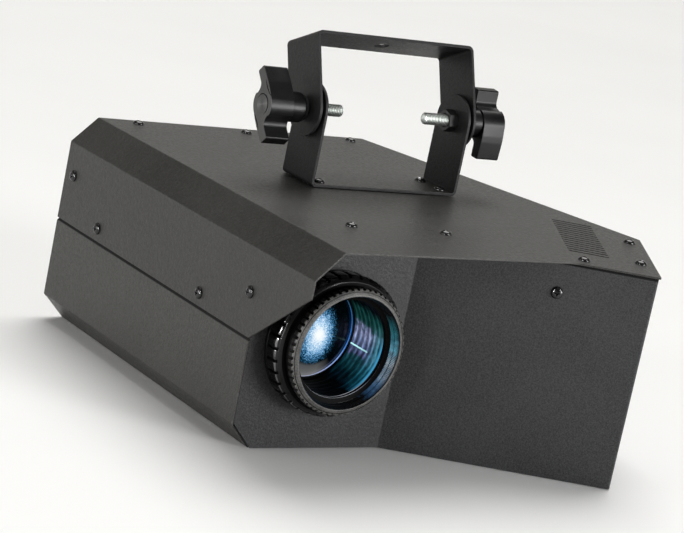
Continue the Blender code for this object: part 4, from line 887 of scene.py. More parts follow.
# ------------------------------------------------------------------ top cover
cover = folded(fillet([(292.0, HOUSING_H), (0.0, HOUSING_H), (SIDE_X, FOLD_TOP_Z), (SIDE_X, SEAM_Z)], BEND_R, 7),
               -320.0, 40.0, XZ, SHEET)
plan = [(SIDE_X - 4, HOUSING_D), (SIDE_X - 4, 0.0), (0.0, 0.0), PLAN_C, PLAN_D, PLAN_E, PLAN_F]
cut(cover, plate([fillet(plan, [0, 0, 0, 20.0, 1.0, 1.0, 2.0], 7, closed=True)], SEAM_Z - 5, HOUSING_H + 5), 'INTERSECT')
cut(cover, plate([[(-10, 40), (PANEL_Y, 40), (PANEL_Y, SEAM_Z), (0, LIP_Z), (-10, LIP_Z)]], SIDE_X - 8, SIDE_X + 10, YZ))
slots = []
for i in range(VENT_COUNT):
    behind = VENT_NEAR + (VENT_FAR - VENT_NEAR) * i / (VENT_COUNT - 1)
    sx, sy = wing_point((VENT_FROM + VENT_TO) / 2, behind)
    place = Matrix.Translation((sx * MM, sy * MM, 0)) @ Matrix.Rotation(WING_TURN, 4, 'Z')
    slots.append(plate([round_rect(VENT_TO - VENT_FROM, VENT_SLOT_W, 0.6, 3)], HOUSING_H - 4, HOUSING_H + 4, place))
cut(cover, gather(slots))
spots = [((x, y, HOUSING_H), (0, 0, 1)) for x, y in list(TOP_SCREWS.values()) + list(BRACKET_SCREWS.values())]
spots += [((SIDE_X, y, z), (1, 0, 0)) for y, z in SIDE_SCREWS.values()]
cut(cover, drill(spots, SCREW_R + GAP, 4.0))
soften(cover, 0.16, 2, 30, 1)
cover_piece = piece("cover_shell", cover, [top_coat, coat_edge, slot_painted_shade], "housing", ["top_cover"])
for p in cover_piece.data.polygons:
    q = ROOT.inverted() @ p.center
    if q.z / MM > 138.0:
        spot = Vector((q.x / MM, q.y / MM)) - Vector(KINK)
        along, behind = spot.dot(WING), spot.dot(WING_IN_DIR)
        if VENT_FROM - 0.5 < along < VENT_TO + 0.5 and VENT_NEAR - 2.2 < behind < VENT_FAR + 2.2 and (p.material_index == 1 or p.normal.z < 0.9):
            # Walls and edges of the vent slots take the near-black third material: painted shade in the slots.
            p.material_index = 2

# ------------------------------------------------------------------ base tray
lap = SIDE_X + SHEET + 0.4
tray_profile = ([(lap, 87.0), (lap, SEAM_Z - 0.5), (SIDE_X, SEAM_Z - 2.0)]
                + fillet([(SIDE_X, SEAM_Z - 2.0), (SIDE_X, FOLD_LOW_Z), (FLOOR_X, 0.0), (292.0, 0.0)], BEND_R, 7)[1:])
tray = folded(tray_profile, -HOUSING_D, 30.0, XZ, SHEET)
inset = SHEET + 0.5
wall_x = SIDE_X + SHEET + 0.3 - inset
walls = [(wall_x, HOUSING_D), (wall_x, PANEL_Y), KINK, TIP, CORNER_E, (PLAN_F[0] - 0.6, HOUSING_D)]
floor_loop = inset_loop(walls, inset)
tray_plan = ([(SIDE_X - 4, HOUSING_D), (SIDE_X - 4, PANEL_Y - 0.4), (wall_x + inset, PANEL_Y - 0.4)] + floor_loop[1:]
             + [floor_loop[0], (wall_x + inset, HOUSING_D)])
cut(tray, plate([tray_plan], -5, 95), 'INTERSECT')
cut(tray, drill([((SIDE_X, y, z), (1, 0, 0)) for n, (y, z) in SIDE_SCREWS.items() if "lower" in n], SCREW_R + GAP, 5.0))
cut(tray, block((12, 40, 60), (SIDE_X + 2, PANEL_Y - 2.0, SEAM_Z + 31.0)))
cut(tray, block((12, 56, 60), (SIDE_X + 2, HOUSING_D + 2.0, SEAM_Z + 31.0)))
soften(tray, 0.16, 2, 30, 1)
tray_piece = piece("tray_shell", tray, [tray_coat_painted_seam_shade, coat_edge], "housing", ["base_tray"])
# Edge faces up by the seam take the tray coat, so its painted seam shade runs over them too.
for p in tray_piece.data.polygons:
    if p.center.z > 67.4 * MM:
        p.material_index = 0

# ---------------------------------------------------------------- front panel
panel_left = SIDE_X + SHEET + 0.45
side_end = Vector(TIP) + SIDE * 103.0
panel = folded(fillet([(panel_left, PANEL_Y), KINK, TIP, (side_end.x, side_end.y)], BEND_R, 7), 0.2,
               HOUSING_H - SHEET - 0.4, Matrix(), SHEET)
tab_z = HOUSING_H - SHEET - 0.4 - 0.6


def tab(x, y, turn, wide=15.0, deep=14.0):
    return block((wide, deep, 1.2), (x, y, tab_z), turn)


tabs = [tab(TOP_SCREWS["cover_screw_front_left"][0], PANEL_Y + 7.4, 0.0)]
for n in ("cover_screw_front_mid", "cover_screw_vent"):
    cx, cy = wing_point((Vector(TOP_SCREWS[n]) - Vector(KINK)).dot(WING), 7.4)
    tabs.append(tab(cx, cy, WING_TURN))
for n in ("cover_screw_tip", "cover_screw_corner"):
    c = Vector(TIP) + SIDE * (Vector(TOP_SCREWS[n]) - Vector(TIP)).dot(SIDE) + SIDE_IN_DIR * 8.4
    tabs.append(tab(c.x, c.y, SIDE_TURN, 15.0, 16.0))
tabs.append(block((1.2, 15.0, 24.0), (panel_left + 0.6, PANEL_Y + 7.9, 96.0)))
for t in tabs:
    cut(panel, t, 'UNION')
low_corner = [(SIDE_X - 6, -6), (FLOOR_X + 7.0, -6), (FLOOR_X + 1.0, 0.0), (SIDE_X + SHEET + 0.4, FOLD_LOW_Z + 0.6),
              (SIDE_X - 6, FOLD_LOW_Z + 0.6)]
top_corner = [(SIDE_X - 6, HOUSING_H + 4), (2.0, HOUSING_H + 4), (2.0, HOUSING_H - SHEET - 0.3),
              (SIDE_X + SHEET + 0.4, FOLD_TOP_Z - 1.0), (SIDE_X - 6, FOLD_TOP_Z - 1.0)]
cut(panel, plate([low_corner], -PANEL_Y - 8, -PANEL_Y + 8, XZ))
cut(panel, plate([top_corner], -PANEL_Y - 8, -PANEL_Y + 8, XZ))
cut(panel, rod(40.7, -20, 20, axes((LENS_X, PANEL_Y, LENS_Z), (0, -1, 0), (1, 0, 0)), 96))
spots = [((x, y, HOUSING_H - 2), (0, 0, 1)) for n, (x, y) in TOP_SCREWS.items() if "rear" not in n]
spots.append(((SIDE_X + 2, *SIDE_SCREWS["side_screw_front_upper"]), (1, 0, 0)))
spots.append(((WX, WY, WING_SCREW_Z), (WING_IN_DIR.x, WING_IN_DIR.y, 0)))
cut(panel, drill(spots, SCREW_R + GAP, 4.5))
soften(panel, 0.14, 2, 30, 1)
panel_piece = piece("front_panel_shell", panel, [front_coat_painted_gap_shade, front_edge], "housing", ["front_panel"])
# Edge faces at the panel's top take the front coat, so its painted shade band covers them too.
for p in panel_piece.data.polygons:
    if p.center.z > 136.4 * MM:
        p.material_index = 0

# ----------------------------------------------------------------- rear panel
rear = folded(fillet([CORNER_E, (PLAN_F[0] - 0.6, HOUSING_D), (panel_left, HOUSING_D)], BEND_R, 7), 0.2,
              HOUSING_H - SHEET - 0.4, Matrix(), SHEET)
cut(rear, block((218.0, 20.0, 1.2), (106.0, HOUSING_D - 10.4, tab_z)), 'UNION')
cut(rear, block((1.2, 22.0, 24.0), (panel_left + 0.6, HOUSING_D - 11.4, 101.6)), 'UNION')
cut(rear, plate([low_corner], -HOUSING_D - 8, -HOUSING_D + 8, XZ))
cut(rear, plate([top_corner], -HOUSING_D - 8, -HOUSING_D + 24, XZ))
tools = [plate([round_rect(28.6, 21.0, 1.5, 4)], -6, 6, at_rear(*INLET)),
         plate([round_rect(56.0, 18.0, 1.0, 4)], -6, 6, at_rear(*DISPLAY))]
tools += [rod(11.9, -6, 6, at_rear(*c), 64) for c in (DMX_IN, DMX_OUT)]
tools += [rod(3.6, -6, 6, at_rear(x, BUTTON_Z), 40) for x in BUTTONS.values()]
tools += [plate([round_rect(42.0, 2.6, 1.29, 6)], -6, 6, at_rear(36.0, 84.0 + 6.0 * i)) for i in range(7)]
cut(rear, gather(tools))
spots = [((x, y, HOUSING_H - 2), (0, 0, 1)) for n, (x, y) in TOP_SCREWS.items() if "rear" in n]
spots.append(((SIDE_X + 2, *SIDE_SCREWS["side_screw_rear_upper"]), (1, 0, 0)))
cut(rear, drill(spots, SCREW_R + GAP, 4.5))
soften(rear, 0.14, 2, 30, 1)
piece("rear_panel_shell", rear, [coat, coat_edge], "housing", ["rear_panel"])

# ------------------------------------------------------------------- brackets
XZ0 = axes((0, 0, 0), (0, -1, 0), (1, 0, 0))
YZ0 = axes((0, 0, 0), (1, 0, 0), (0, 1, 0))
foot = HOUSING_H + GAP - PIVOT_Z


def strap_end(width, reach, sign, base):
    r = width / 2
    n = 40
    arc = [(r * math.cos(math.pi * i / n), sign * r * math.sin(math.pi * i / n)) for i in range(n + 1)]
    return plate([arc + [(-r, -sign * reach), (r, -sign * reach)]], -70.0, 70.0, YZ0, base)


low = folded(fillet([(-LOWER_HALF, 26.0), (-LOWER_HALF, foot), (LOWER_HALF, foot), (LOWER_HALF, 26.0)], 3.4, 10),
             -LOWER_W / 2, LOWER_W / 2, XZ0, STRAP_T, PIVOT)
cut(low, strap_end(LOWER_W - 0.02, 60.0, 1, PIVOT), 'INTERSECT')
cut(low, rod(BOLT_R + GAP, -70, 70, YZ0, 48, base=PIVOT))
cut(low, drill([((x - PIVOT_X, y - PIVOT_Y, foot), (0, 0, 1)) for x, y in BRACKET_SCREWS.values()], SCREW_R + GAP, 5.0,
               28, PIVOT))
soften(low, 0.28, 2, 30, 1)
low_piece = piece("lower_bracket_strap", low, [bracket_coat, bracket_edge, top_coat], "housing", ["lower_bracket"])
# Upward faces of the lower bracket take the lighter cover coat, so its top is painted lighter than its sides.
for p in low_piece.data.polygons:
    if p.material_index == 0 and p.normal.z > 0.9 and p.center.z < (HOUSING_H + 4.0) * MM:
        p.material_index = 2

high = folded(fillet([(UPPER_HALF, -26.0), (UPPER_HALF, UPPER_H), (-UPPER_HALF, UPPER_H), (-UPPER_HALF, -26.0)], 4.0, 10),
              -UPPER_W / 2, UPPER_W / 2, XZ0, STRAP_T, TILT)
cut(high, strap_end(UPPER_W - 0.02, 60.0, -1, TILT), 'INTERSECT')
cut(high, rod(BOLT_R + 0.5, -70, 70, YZ0, 48, base=TILT))
cut(high, rod(5.0, UPPER_H - 8, UPPER_H + 8, Matrix(), 56, base=TILT))
soften(high, 0.28, 2, 30, 1)
piece("upper_bracket_strap", high, [bracket_coat, bracket_edge], "upper_bracket", ["upper_bracket"])

# ----------------------------------------------------------------- wing bolts
KNOB = [(-10.8, 1.2), (-9.6, 8.8), (-8.6, 13.0), (-5.2, 23.4), (-4.2, 24.2), (1.2, 22.4), (1.8, 21.4), (-0.2, 13.4),
        (1.2, 10.8), (4.4, 8.7)]


def knob_loop():
    side = [((HUB_R + 1.1) * math.sin(a), (HUB_R + 1.1) * math.cos(a)) for a in (math.radians(v) for v in (36, 48, 60, 72, 84))]
    half = [(w, u) for u, w in KNOB] + [(c, s) for s, c in side]
    loop = half + [(-w, -u) for w, u in half]
    n = len(half)
    radii = [8.0, 20.0, 20.0, 0.9, 0.9, 0.9, 0.9, 3.5, 3.5, 2.0] + [0.0] * len(side)
    return fillet(loop, radii + radii, 4, closed=True)


def crescent(r_mid, half_w, centre, a0, a1, n=18):
    """Thin curved slot that tapers to both ends."""
    outer, inner = [], []
    for i in range(n + 1):
        t = i / n
        a = a0 + (a1 - a0) * t
        w = half_w * math.sin(math.pi * min(max(t, 0.04), 0.96)) ** 0.6
        outer.append((centre[0] + (r_mid + w) * math.cos(a), centre[1] + (r_mid + w) * math.sin(a)))
        inner.append((centre[0] + (r_mid - w) * math.cos(a), centre[1] + (r_mid - w) * math.sin(a)))
    return outer + inner[::-1]


def thread_rod(r, pitch, deep, z0, z1, z_end, matrix, base, segs=36, per=6):
    """Rod with a real helical thread from z0 to z1 and plain up to z_end."""
    rows = int(round((z1 - z0) / pitch * per))
    grid = [[(0.0, 0.0, z0 * MM)]]
    for j in range(rows + 1):
        z = z0 + (z1 - z0) * j / rows
        ring = []
        for i in range(segs):
            a = 2 * math.pi * i / segs
            ph = (z / pitch - a / (2 * math.pi)) % 1.0
            tooth = min(1.0, 1.22 * (1.0 - abs(2.0 * ph - 1.0)))
            rr = min(r - deep * (1.0 - tooth), r - 1.25 + 1.0 * (z - z0) + 0.12)
            ring.append((rr * MM * math.cos(a), rr * MM * math.sin(a), z * MM))
        grid.append(ring)
    for z in (z1 + 0.4, z_end):
        grid.append([((r - deep) * MM * math.cos(2 * math.pi * i / segs), (r - deep) * MM * math.sin(2 * math.pi * i / segs), z * MM)
                     for i in range(segs)])
    grid.append([(0.0, 0.0, z_end * MM)])
    return work("thread", rings(grid, segs, False), matrix, base)


def wing_bolt(prefix, sign, turn, slack):
    fr = axes((0, 0, 0), (sign, 0, 0), (0, math.sin(turn), math.cos(turn)))
    travel = PIVOT @ Matrix.Translation((sign * slack * MM, 0, 0))
    bolt, ride_on = prefix + "_wing_bolt", prefix + "_washer_body"
    hub = turned([(0, HUB_OUT - 0.5)] + fillet([(HUB_R - 0.02, HUB_OUT - 0.5), (HUB_R - 0.02, HUB_IN), (3.0, HUB_IN)],
                                               [0, 2.0, 0], 6) + [(0, HUB_IN)], fr, 72, travel)
    wing = plate([knob_loop()], WING_IN, HUB_OUT, fr, travel)
    soften(wing, 0.55, 3, 28)
    wing = gather([wing])
    cut(hub, wing, 'UNION')
    groove = plate([crescent(6.6, 0.42, (0, 0), math.radians(-175), math.radians(40), 30)], HUB_OUT - 0.9, HUB_OUT + 2, fr, travel)
    cut(hub, groove)
    for s in (1, -1):
        bow = [(s * x, s * y) for x, y in crescent(21.0, 0.42, (15.6, -27.4), math.radians(92), math.radians(129), 18)]
        cut(hub, plate([bow], HUB_OUT - 0.9, HUB_OUT + 2, fr, travel))
    cut(hub, rod(BOLT_R + GAP, HUB_IN - 5, HUB_OUT - 8, fr, 40, base=travel))
    knob = piece(prefix + "_knob", hub, [nylon, nylon_face, spun_face], bolt, [prefix + "_wing_knob"], 30)
    inv = (travel @ fr).inverted()
    for p in knob.data.polygons:
        q = inv @ p.center
        nz = (inv.to_3x3() @ p.normal).z
        if nz > 0.5 and q.z > (HUB_OUT - 0.7) * MM:
            p.material_index = 1
    cap = turned([(0, HUB_OUT + 0.02)] + fillet([(6.0, HUB_OUT + 0.02), (6.0, HUB_OUT - 0.6)], 0.2, 3)
                 + [(0, HUB_OUT - 0.6)], fr, 56, travel)
    piece(prefix + "_knob_cap", cap, spun_face, bolt, ())
    stud = thread_rod(BOLT_R, 1.25, 0.50, STUD_TIP, 66.0, HUB_OUT - 8.4, fr, travel)
    stud_piece = piece(prefix + "_stud_thread", stud, [zinc, zinc_end], bolt, [prefix + "_threaded_stud"], 60, False)
    for p in stud_piece.data.polygons:
        if (inv @ p.center).z < (STUD_TIP + 0.9) * MM:
            p.material_index = 1
    washer = turned(fillet([(8.4, UPPER_HALF + 1.5), (8.4, UPPER_HALF + 0.1), (BOLT_R + GAP, UPPER_HALF + 0.1),
                            (BOLT_R + GAP, UPPER_HALF + 1.5)], 0.25, 3, closed=True), fr, 56, travel)
    piece(prefix + "_washer_round", washer, rubber, ride_on, [prefix + "_washer"])
    disc = turned(fillet([(13.5, LOWER_HALF + 2.3), (13.5, LOWER_HALF + 0.1), (BOLT_R + GAP, LOWER_HALF + 0.1),
                          (BOLT_R + GAP, LOWER_HALF + 2.3)], 0.35, 3, closed=True), fr, 72, PIVOT)
    piece(prefix + "_friction_round", disc, rubber, "housing", [prefix + "_friction_disc"])
    inner = LOWER_HALF - STRAP_T - 0.05
    nfr = axes((0, 0, 0), (sign, 0, 0), (0, 0.2, 1))
    nut = plate([circle(7.5, 6)], inner - 6.5, inner, nfr, PIVOT)
    cut(nut, turned([(0, inner + 0.01), (6.6, inner + 0.01), (7.9, inner - 0.8), (7.9, inner - 5.7), (6.6, inner - 6.51),
                     (0, inner - 6.51)], nfr, 64, PIVOT), 'INTERSECT')
    cut(nut, turned([(0, inner + 2), (4.3, inner + 2), (4.3, inner - 5.9), (5.2, inner - 6.9), (0, inner - 6.9)], nfr, 40, PIVOT))
    piece(prefix + "_hex_nut", nut, nut_black, "housing", [prefix + "_weld_nut"], 25)


wing_bolt("left", -1, math.radians(26.8), 2.1)
wing_bolt("right", 1, math.radians(14.0), 0.0)


# ---------------------------------------------------------------- lens optics
def lens_ring(rows, cols):
    """Skin about the lens axis. A row is (radius, notched radius, depth) and a
    column (angle, how much of the notch it takes)."""
    grid = []
    for r, q, y in rows:
        grid.append([((LENS_X + (r + (q - r) * w) * math.cos(a)) * MM, y * MM, (LENS_Z + (r + (q - r) * w) * math.sin(a)) * MM)
                     for a, w in cols])
    return work("lens_ring", rings(grid, len(cols), True))


def around(n, phase, parts):
    """Columns for n equal notches: parts is (share of the pitch, notch)."""
    return [(2 * math.pi * (i + phase + u) / n, w) for i in range(n) for u, w in parts]


def plain(profile):
    return [(r, r, y) for r, y in profile]


even = [(2 * math.pi * i / 120, 0.0) for i in range(120)]
mount = lens_ring(plain(fillet([(44.2, 52.6), (44.2, 55.2), (40.3, 55.2), (40.3, 72.0), (38.8, 72.0), (38.8, 52.6)],
                               [0.5, 0.3, 0, 0, 0, 0.3], 3, closed=True)), even)
piece("lens_mount_collar", mount, lens_black, "housing", ["lens_mount"])

lug_parts = [(0.0, 1.0), (0.07, 1.0), (0.095, 0.93), (0.115, 0.45), (0.135, 0.06), (0.17, 0.0), (0.34, -0.03), (0.5, -0.04),
             (0.66, -0.03), (0.83, 0.0), (0.865, 0.06), (0.885, 0.45), (0.905, 0.93), (0.93, 1.0)]
focus_rows = (plain([(38.8, 52.2), (38.8, 39.5), (39.1, 39.2), (41.2, 39.2), (41.5, 39.3), (43.1, 40.5), (43.3, 40.8)])
              + [(43.6, 42.9, 41.0), (44.35, 42.9, 41.4), (44.8, 42.9, 42.0), (44.93, 42.9, 42.8), (44.93, 42.9, 51.0),
                 (44.7, 42.9, 51.7), (44.2, 42.9, 52.1)] + plain([(42.6, 52.2)]))
focus = lens_ring(focus_rows, around(LUGS, 0.27, lug_parts))
focus_piece = piece("focus_ring_lugs", focus, [lens_black, lens_rim, lens_gloss, lens_velvet, lug_edge_painted_highlight], "focus_ring_body", ["focus_ring"], 38, False)
for p in focus_piece.data.polygons:
    q = ROOT.inverted() @ p.center
    rr = math.hypot(q.x - LENS_X * MM, q.z - LENS_Z * MM) / MM
    if q.y / MM < 40.6 and rr > 41.45:
        p.material_index = 1
    elif rr > 43.9 and 41.3 < q.y / MM < 42.6:
        # Front bevels of the lugs take the lighter metallic material: painted highlight.
        p.material_index = 4
    elif rr > 42.8:
        p.material_index = 2
    elif rr < 41.3 and q.y / MM < 40.0:
        p.material_index = 3

ribs = []
for i in range(8):
    y0 = 41.2 + 4.9 * i
    for dy, rr in ((0.0, 31.75), (1.0, 31.72), (1.9, 31.45), (2.9, 31.25), (3.7, 31.35), (4.4, 31.65)):
        if y0 + dy < 79.6:
            ribs.append((rr, y0 + dy))
grooves = []
for i in range(5):
    y0 = 36.7 - 0.62 * i
    grooves += [(34.45, y0), (34.2, y0 - 0.31)]
barrel_rows = ([(38.2, 34.0), (38.2, 83.6), (37.8, 84.0), (29.2, 84.0), (29.0, 83.8), (29.0, 80.2), (29.2, 80.0), (31.75, 80.0)]
               + ribs[::-1] + [(31.4, 40.7), (31.1, 40.4), (31.0, 40.1), (31.0, 39.7), (31.0, 38.0), (31.0, 37.6), (31.1, 37.3), (31.4, 37.2), (34.2, 36.95)]
               + grooves + [(34.4, 33.6), (37.9, 33.6), (38.1, 33.7)])
barrel = lens_ring(plain(barrel_rows), [(2 * math.pi * i / 144, 0.0) for i in range(144)])
barrel_piece = piece("lens_tube", barrel, [lens_black, tube_painted_glow, mouth_painted_glow, lip_painted_highlight, lens_velvet], "lens_barrel_body", ["lens_barrel"],
                     40, False)
for p in barrel_piece.data.polygons:
    q = ROOT.inverted() @ p.center
    y = q.y / MM
    rr = math.hypot(q.x - LENS_X * MM, q.z - LENS_Z * MM) / MM
    if rr < 32.2 and 40.75 < y < 79.8:
        # Faces inside the tube take the painted glow.
        p.material_index = 1
    elif 33.7 < rr < 34.9 and y < 36.9:
        # The thread in the mouth takes the painted glow.
        p.material_index = 2
    elif rr < 34.3 and 37.0 < y < 40.75:
        # Edges of the lip on the low side take the painted highlight.
        low_side = q.z / MM < LENS_Z - 9.0
        p.material_index = 3 if low_side and rr < 31.05 and (y > 39.7 or y < 37.5) else 4

ring_parts = [(0.0, 1.0), (0.16, 1.0), (0.20, 0.5), (0.24, 0.0), (0.45, 0.0), (0.60, 0.0), (0.76, 0.0), (0.80, 0.5), (0.84, 1.0)]
ring_thread = []
for i in range(6):
    y0 = 33.1 - 0.62 * i
    ring_thread += [(34.5 + 0.11 * i, y0), (34.75 + 0.11 * i, y0 - 0.31)]
ring_rows = (plain([(34.5, 33.3)] + ring_thread + [(35.35, 29.3), (35.45, 29.05), (35.65, 28.85), (36.0, 28.8), (36.9, 29.15), (37.9, 29.75),
                    (38.0, 30.05), (38.3, 30.15), (38.45, 30.0), (38.85, 30.25)])
             + [(39.3, 38.9, 30.6), (39.7, 38.75, 30.95), (39.95, 38.75, 31.3), (40.0, 38.75, 31.6), (40.0, 38.75, 34.4), (39.8, 38.75, 34.75)]
             + plain([(38.6, 34.8), (38.5, 34.7), (38.5, 33.4), (38.4, 33.3)]))
ring = lens_ring(ring_rows, around(58, 0.0, ring_parts))
ring_piece = piece("front_ring_knurled", ring, [ring_grey, lens_black, mouth_painted_glow, ring_skirt], "lens_barrel_body", ["front_ring"],
                   38, False)
for p in ring_piece.data.polygons:
    q = ROOT.inverted() @ p.center
    y = q.y / MM
    rr = math.hypot(q.x - LENS_X * MM, q.z - LENS_Z * MM) / MM
    if rr < 35.42 and y > 29.2:
        # The thread inside the front ring takes the painted glow.
        p.material_index = 2
    elif rr < 35.6 or y > 34.6 or (37.95 < rr < 38.4 and y > 29.95) or (rr < 38.95 and y > 30.9):
        p.material_index = 1
    elif y > 31.0:
        p.material_index = 3


def dome(r_edge, y_edge, y_vertex, n):
    sag = abs(y_edge - y_vertex)
    rc = (r_edge ** 2 + sag ** 2) / (2 * sag)
    s = 1 if y_edge > y_vertex else -1
    return [(r_edge * i / n, y_vertex + s * (rc - math.sqrt(rc ** 2 - (r_edge * i / n) ** 2))) for i in range(n + 1)]


glass = dome(31.3, 75.6, 64.0, 22) + [(31.3, 78.0)] + dome(31.3, 78.0, 80.4, 10)[::-1][1:]
ob = turned([(r, -y) for r, y in glass], LENS_AXIS, 96)
piece("objective_glass", ob, glass_painted_glow, "lens_barrel_body", ["objective_lens"], 40, False)
ob = turned([(r, -y) for r, y in fillet([(31.5, 72.4), (31.5, 75.0), (29.9, 74.1), (29.55, 73.7), (29.75, 72.9), (30.3, 72.4)],
                                        [0.2, 0, 0.1, 0.1, 0.1, 0.1], 3, closed=True)], LENS_AXIS, 120)
keeper = piece("glass_keeper_ring", ob, [lens_black, ring_painted_glow], "lens_barrel_body", ["lens_retaining_ring"], 25, False)
for p in keeper.data.polygons:
    q = ROOT.inverted() @ p.center
    rr = math.hypot(q.x - LENS_X * MM, q.z - LENS_Z * MM) / MM
    if rr < 29.86:
        # The inner lip takes the painted glow.
        p.material_index = 1

# -------------------------------------------------------------- rear fittings
window = plate([round_rect(60.0, 22.0, 2.0, 6)], 0.05, 1.5, at_rear(*DISPLAY))
soften(window, 0.35, 3, 30)
piece("display_lens", window, window_black, "housing", ["display_window"])


def segment(x, y, length, upright):
    h, e = 0.75, 0.75
    pts = [(-length / 2, 0), (-length / 2 + e, h), (length / 2 - e, h), (length / 2, 0), (length / 2 - e, -h), (-length / 2 + e, -h)]
    return [(x + q, y + p) if upright else (x + p, y + q) for p, q in pts]


digits = []
for d in range(4):
    cx = 18.6 - 12.4 * d
    for sx, sy, up in ((0, 6.0, False), (0, 0, False), (0, -6.0, False), (-3.3, 3.0, True), (3.3, 3.0, True),
                       (-3.3, -3.0, True), (3.3, -3.0, True)):
        loop = segment(sx, sy, 5.4, up)
        digits.append(plate([[(cx + x + 0.09 * y, y) for x, y in loop]], 1.44, 1.53, at_rear(*DISPLAY)))
piece("display_digits", gather(digits), digit_dark, "housing", (), 30, False)

for n, x in BUTTONS.items():
    cap = turned([(0, 2.15), (1.2, 2.18), (2.2, 2.30), (2.75, 2.40), (3.05, 2.25), (3.2, 1.9), (3.2, -3.0), (4.4, -3.0),
                  (4.4, -4.0), (0, -4.0)], at_rear(x, BUTTON_Z), 48)
    piece(n + "_cap", cap, moulded_soft, n + "_body", [n], 35)


def flange_screw(x, z, centre, reach):
    """Countersunk cross-head screw, flush in a flange."""
    m = at_rear(centre[0] + x, centre[1] + z)
    head = turned([(0, reach + 0.05), (1.6, reach + 0.02), (2.5, reach - 0.12), (2.6, reach - 0.3), (1.4, reach - 1.5), (0, reach - 1.5)], m, 36)
    c = cross_tool(0.95, 0.45, 1.2, 0.0)
    c.matrix_world = ROOT @ m @ Matrix.Translation((0, 0, (reach - 0.9) * MM)) @ Matrix.Rotation(0.4, 4, 'Z')
    return cut(head, c)


inlet_hole = fillet([(-12.2, -8.2), (12.2, -8.2), (12.2, 4.2), (8.2, 8.2), (-8.2, 8.2), (-12.2, 4.2)], 1.0, 4, closed=True)
inlet = plate([fillet([(-25, -5.0), (-14.5, -12.5), (14.5, -12.5), (25, -5.0), (25, 5.0), (14.5, 12.5), (-14.5, 12.5), (-25, 5.0)],
                      3.0, 5, closed=True)], 0.05, 2.6, at_rear(*INLET))
soften(inlet, 0.5, 3, 40)
inlet = gather([inlet])
cut(inlet, plate([round_rect(28.0, 20.4, 1.5, 4)], -22.0, 1.0, at_rear(*INLET)), 'UNION')
cut(inlet, plate([inlet_hole], -15.5, 5.0, at_rear(*INLET)))
cut(inlet, gather([turned([(0, 4), (2.75, 4), (2.75, 2.4), (1.5, 1.0), (1.5, -2), (0, -2)], at_rear(INLET[0] + s * 20.0, INLET[1]), 36)
                   for s in (-1, 1)]))
piece("mains_inlet_shell", inlet, moulded, "housing", ["mains_inlet"], 32)
pins = []
for ax, az in ((-7.0, -2.0), (0.0, 2.0), (7.0, -2.0)):
    pin = plate([round_rect(2.0, 4.0, 0.5, 3)], -16.0, -2.6, at_rear(INLET[0] + ax, INLET[1] + az))
    soften(pin, 0.3, 2, 40)
    pins.append(pin)
piece("mains_inlet_pins", gather(pins), nickel, "housing", (), 32)
piece("mains_inlet_screws", gather([flange_screw(s * 20.0, 0.0, INLET, 2.4) for s in (-1, 1)]), screw_black, "housing", ())


def socket(name, centre, female):
    m = at_rear(*centre)
    base = plate([round_rect(26.0, 31.0, 3.0, 6)], 0.05, 2.4, m)
    soften(base, 0.5, 3, 40)
    base = gather([base])
    cut(base, rod(11.5, -20.0, 1.2, m, 72), 'UNION')
    if female:
        cut(base, turned([(9.4, 6.0), (9.4, -13.0), (7.6, -13.0), (7.6, 6.0)], m, 64))
        cut(base, gather([rod(1.45, -12.0, 6.0, at_rear(centre[0] + 4.2 * math.cos(a), centre[1] + 4.2 * math.sin(a)), 24)
                          for a in (math.radians(v) for v in (90, 210, 330))]))
        cut(base, block((7.6, 12.0, 4.2), (centre[0], HOUSING_D + 1.0, centre[1] + 12.6)))
    else:
        cut(base, rod(9.4, -13.0, 6.0, m, 64))
        cut(base, block((2.6, 14.0, 1.6), (centre[0], HOUSING_D - 6.0, centre[1] - 9.6)), 'UNION')
    seats = [turned([(0, 4), (2.75, 4), (2.75, 2.2), (1.5, 0.8), (1.5, -2), (0, -2)], at_rear(centre[0] + s * 9.6, centre[1] - s * 12.2), 36)
             for s in (-1, 1)]
    cut(base, gather(seats))
    piece(name + "_shell", base, moulded, "housing", [name], 32)
    piece(name + "_screws", gather([flange_screw(s * 9.6, -s * 12.2, centre, 2.2) for s in (-1, 1)]), screw_black, "housing", ())
    rim = turned([(9.35, 2.3), (9.35, -12.9), (8.9, -12.9), (8.9, 2.3)], m, 64)
    if not female:
        piece(name + "_sleeve", rim, nickel, "housing", (), 40)
        pegs = [turned([(0, -3.4), (0.5, -3.5), (1.0, -4.0), (1.2, -4.8), (1.2, -12.9), (0, -12.9)],
                       at_rear(centre[0] + 4.2 * math.cos(a), centre[1] - 4.2 * math.sin(a)), 24)
                for a in (math.radians(v) for v in (90, 210, 330))]
        piece(name + "_contacts", gather(pegs), nickel, "housing", (), 40)


socket("dmx_in_socket", DMX_IN, False)
socket("dmx_out_socket", DMX_OUT, True)
latch = plate([fillet([(-1.7, 0), (1.7, 0), (1.7, 3.0), (0.4, 3.4), (-1.7, 3.4)], [0.5, 0.5, 0.5, 0.8, 0.3], 4, closed=True)], -3.4, 3.4,
              axes((DMX_OUT[0], HOUSING_D + 2.0, DMX_OUT[1] + 12.6), (-1, 0, 0), (0, 0, 1)))
soften(latch, 0.35, 3, 40)
piece("dmx_latch_key", latch, steel, "dmx_latch_body", ["dmx_out_latch"])

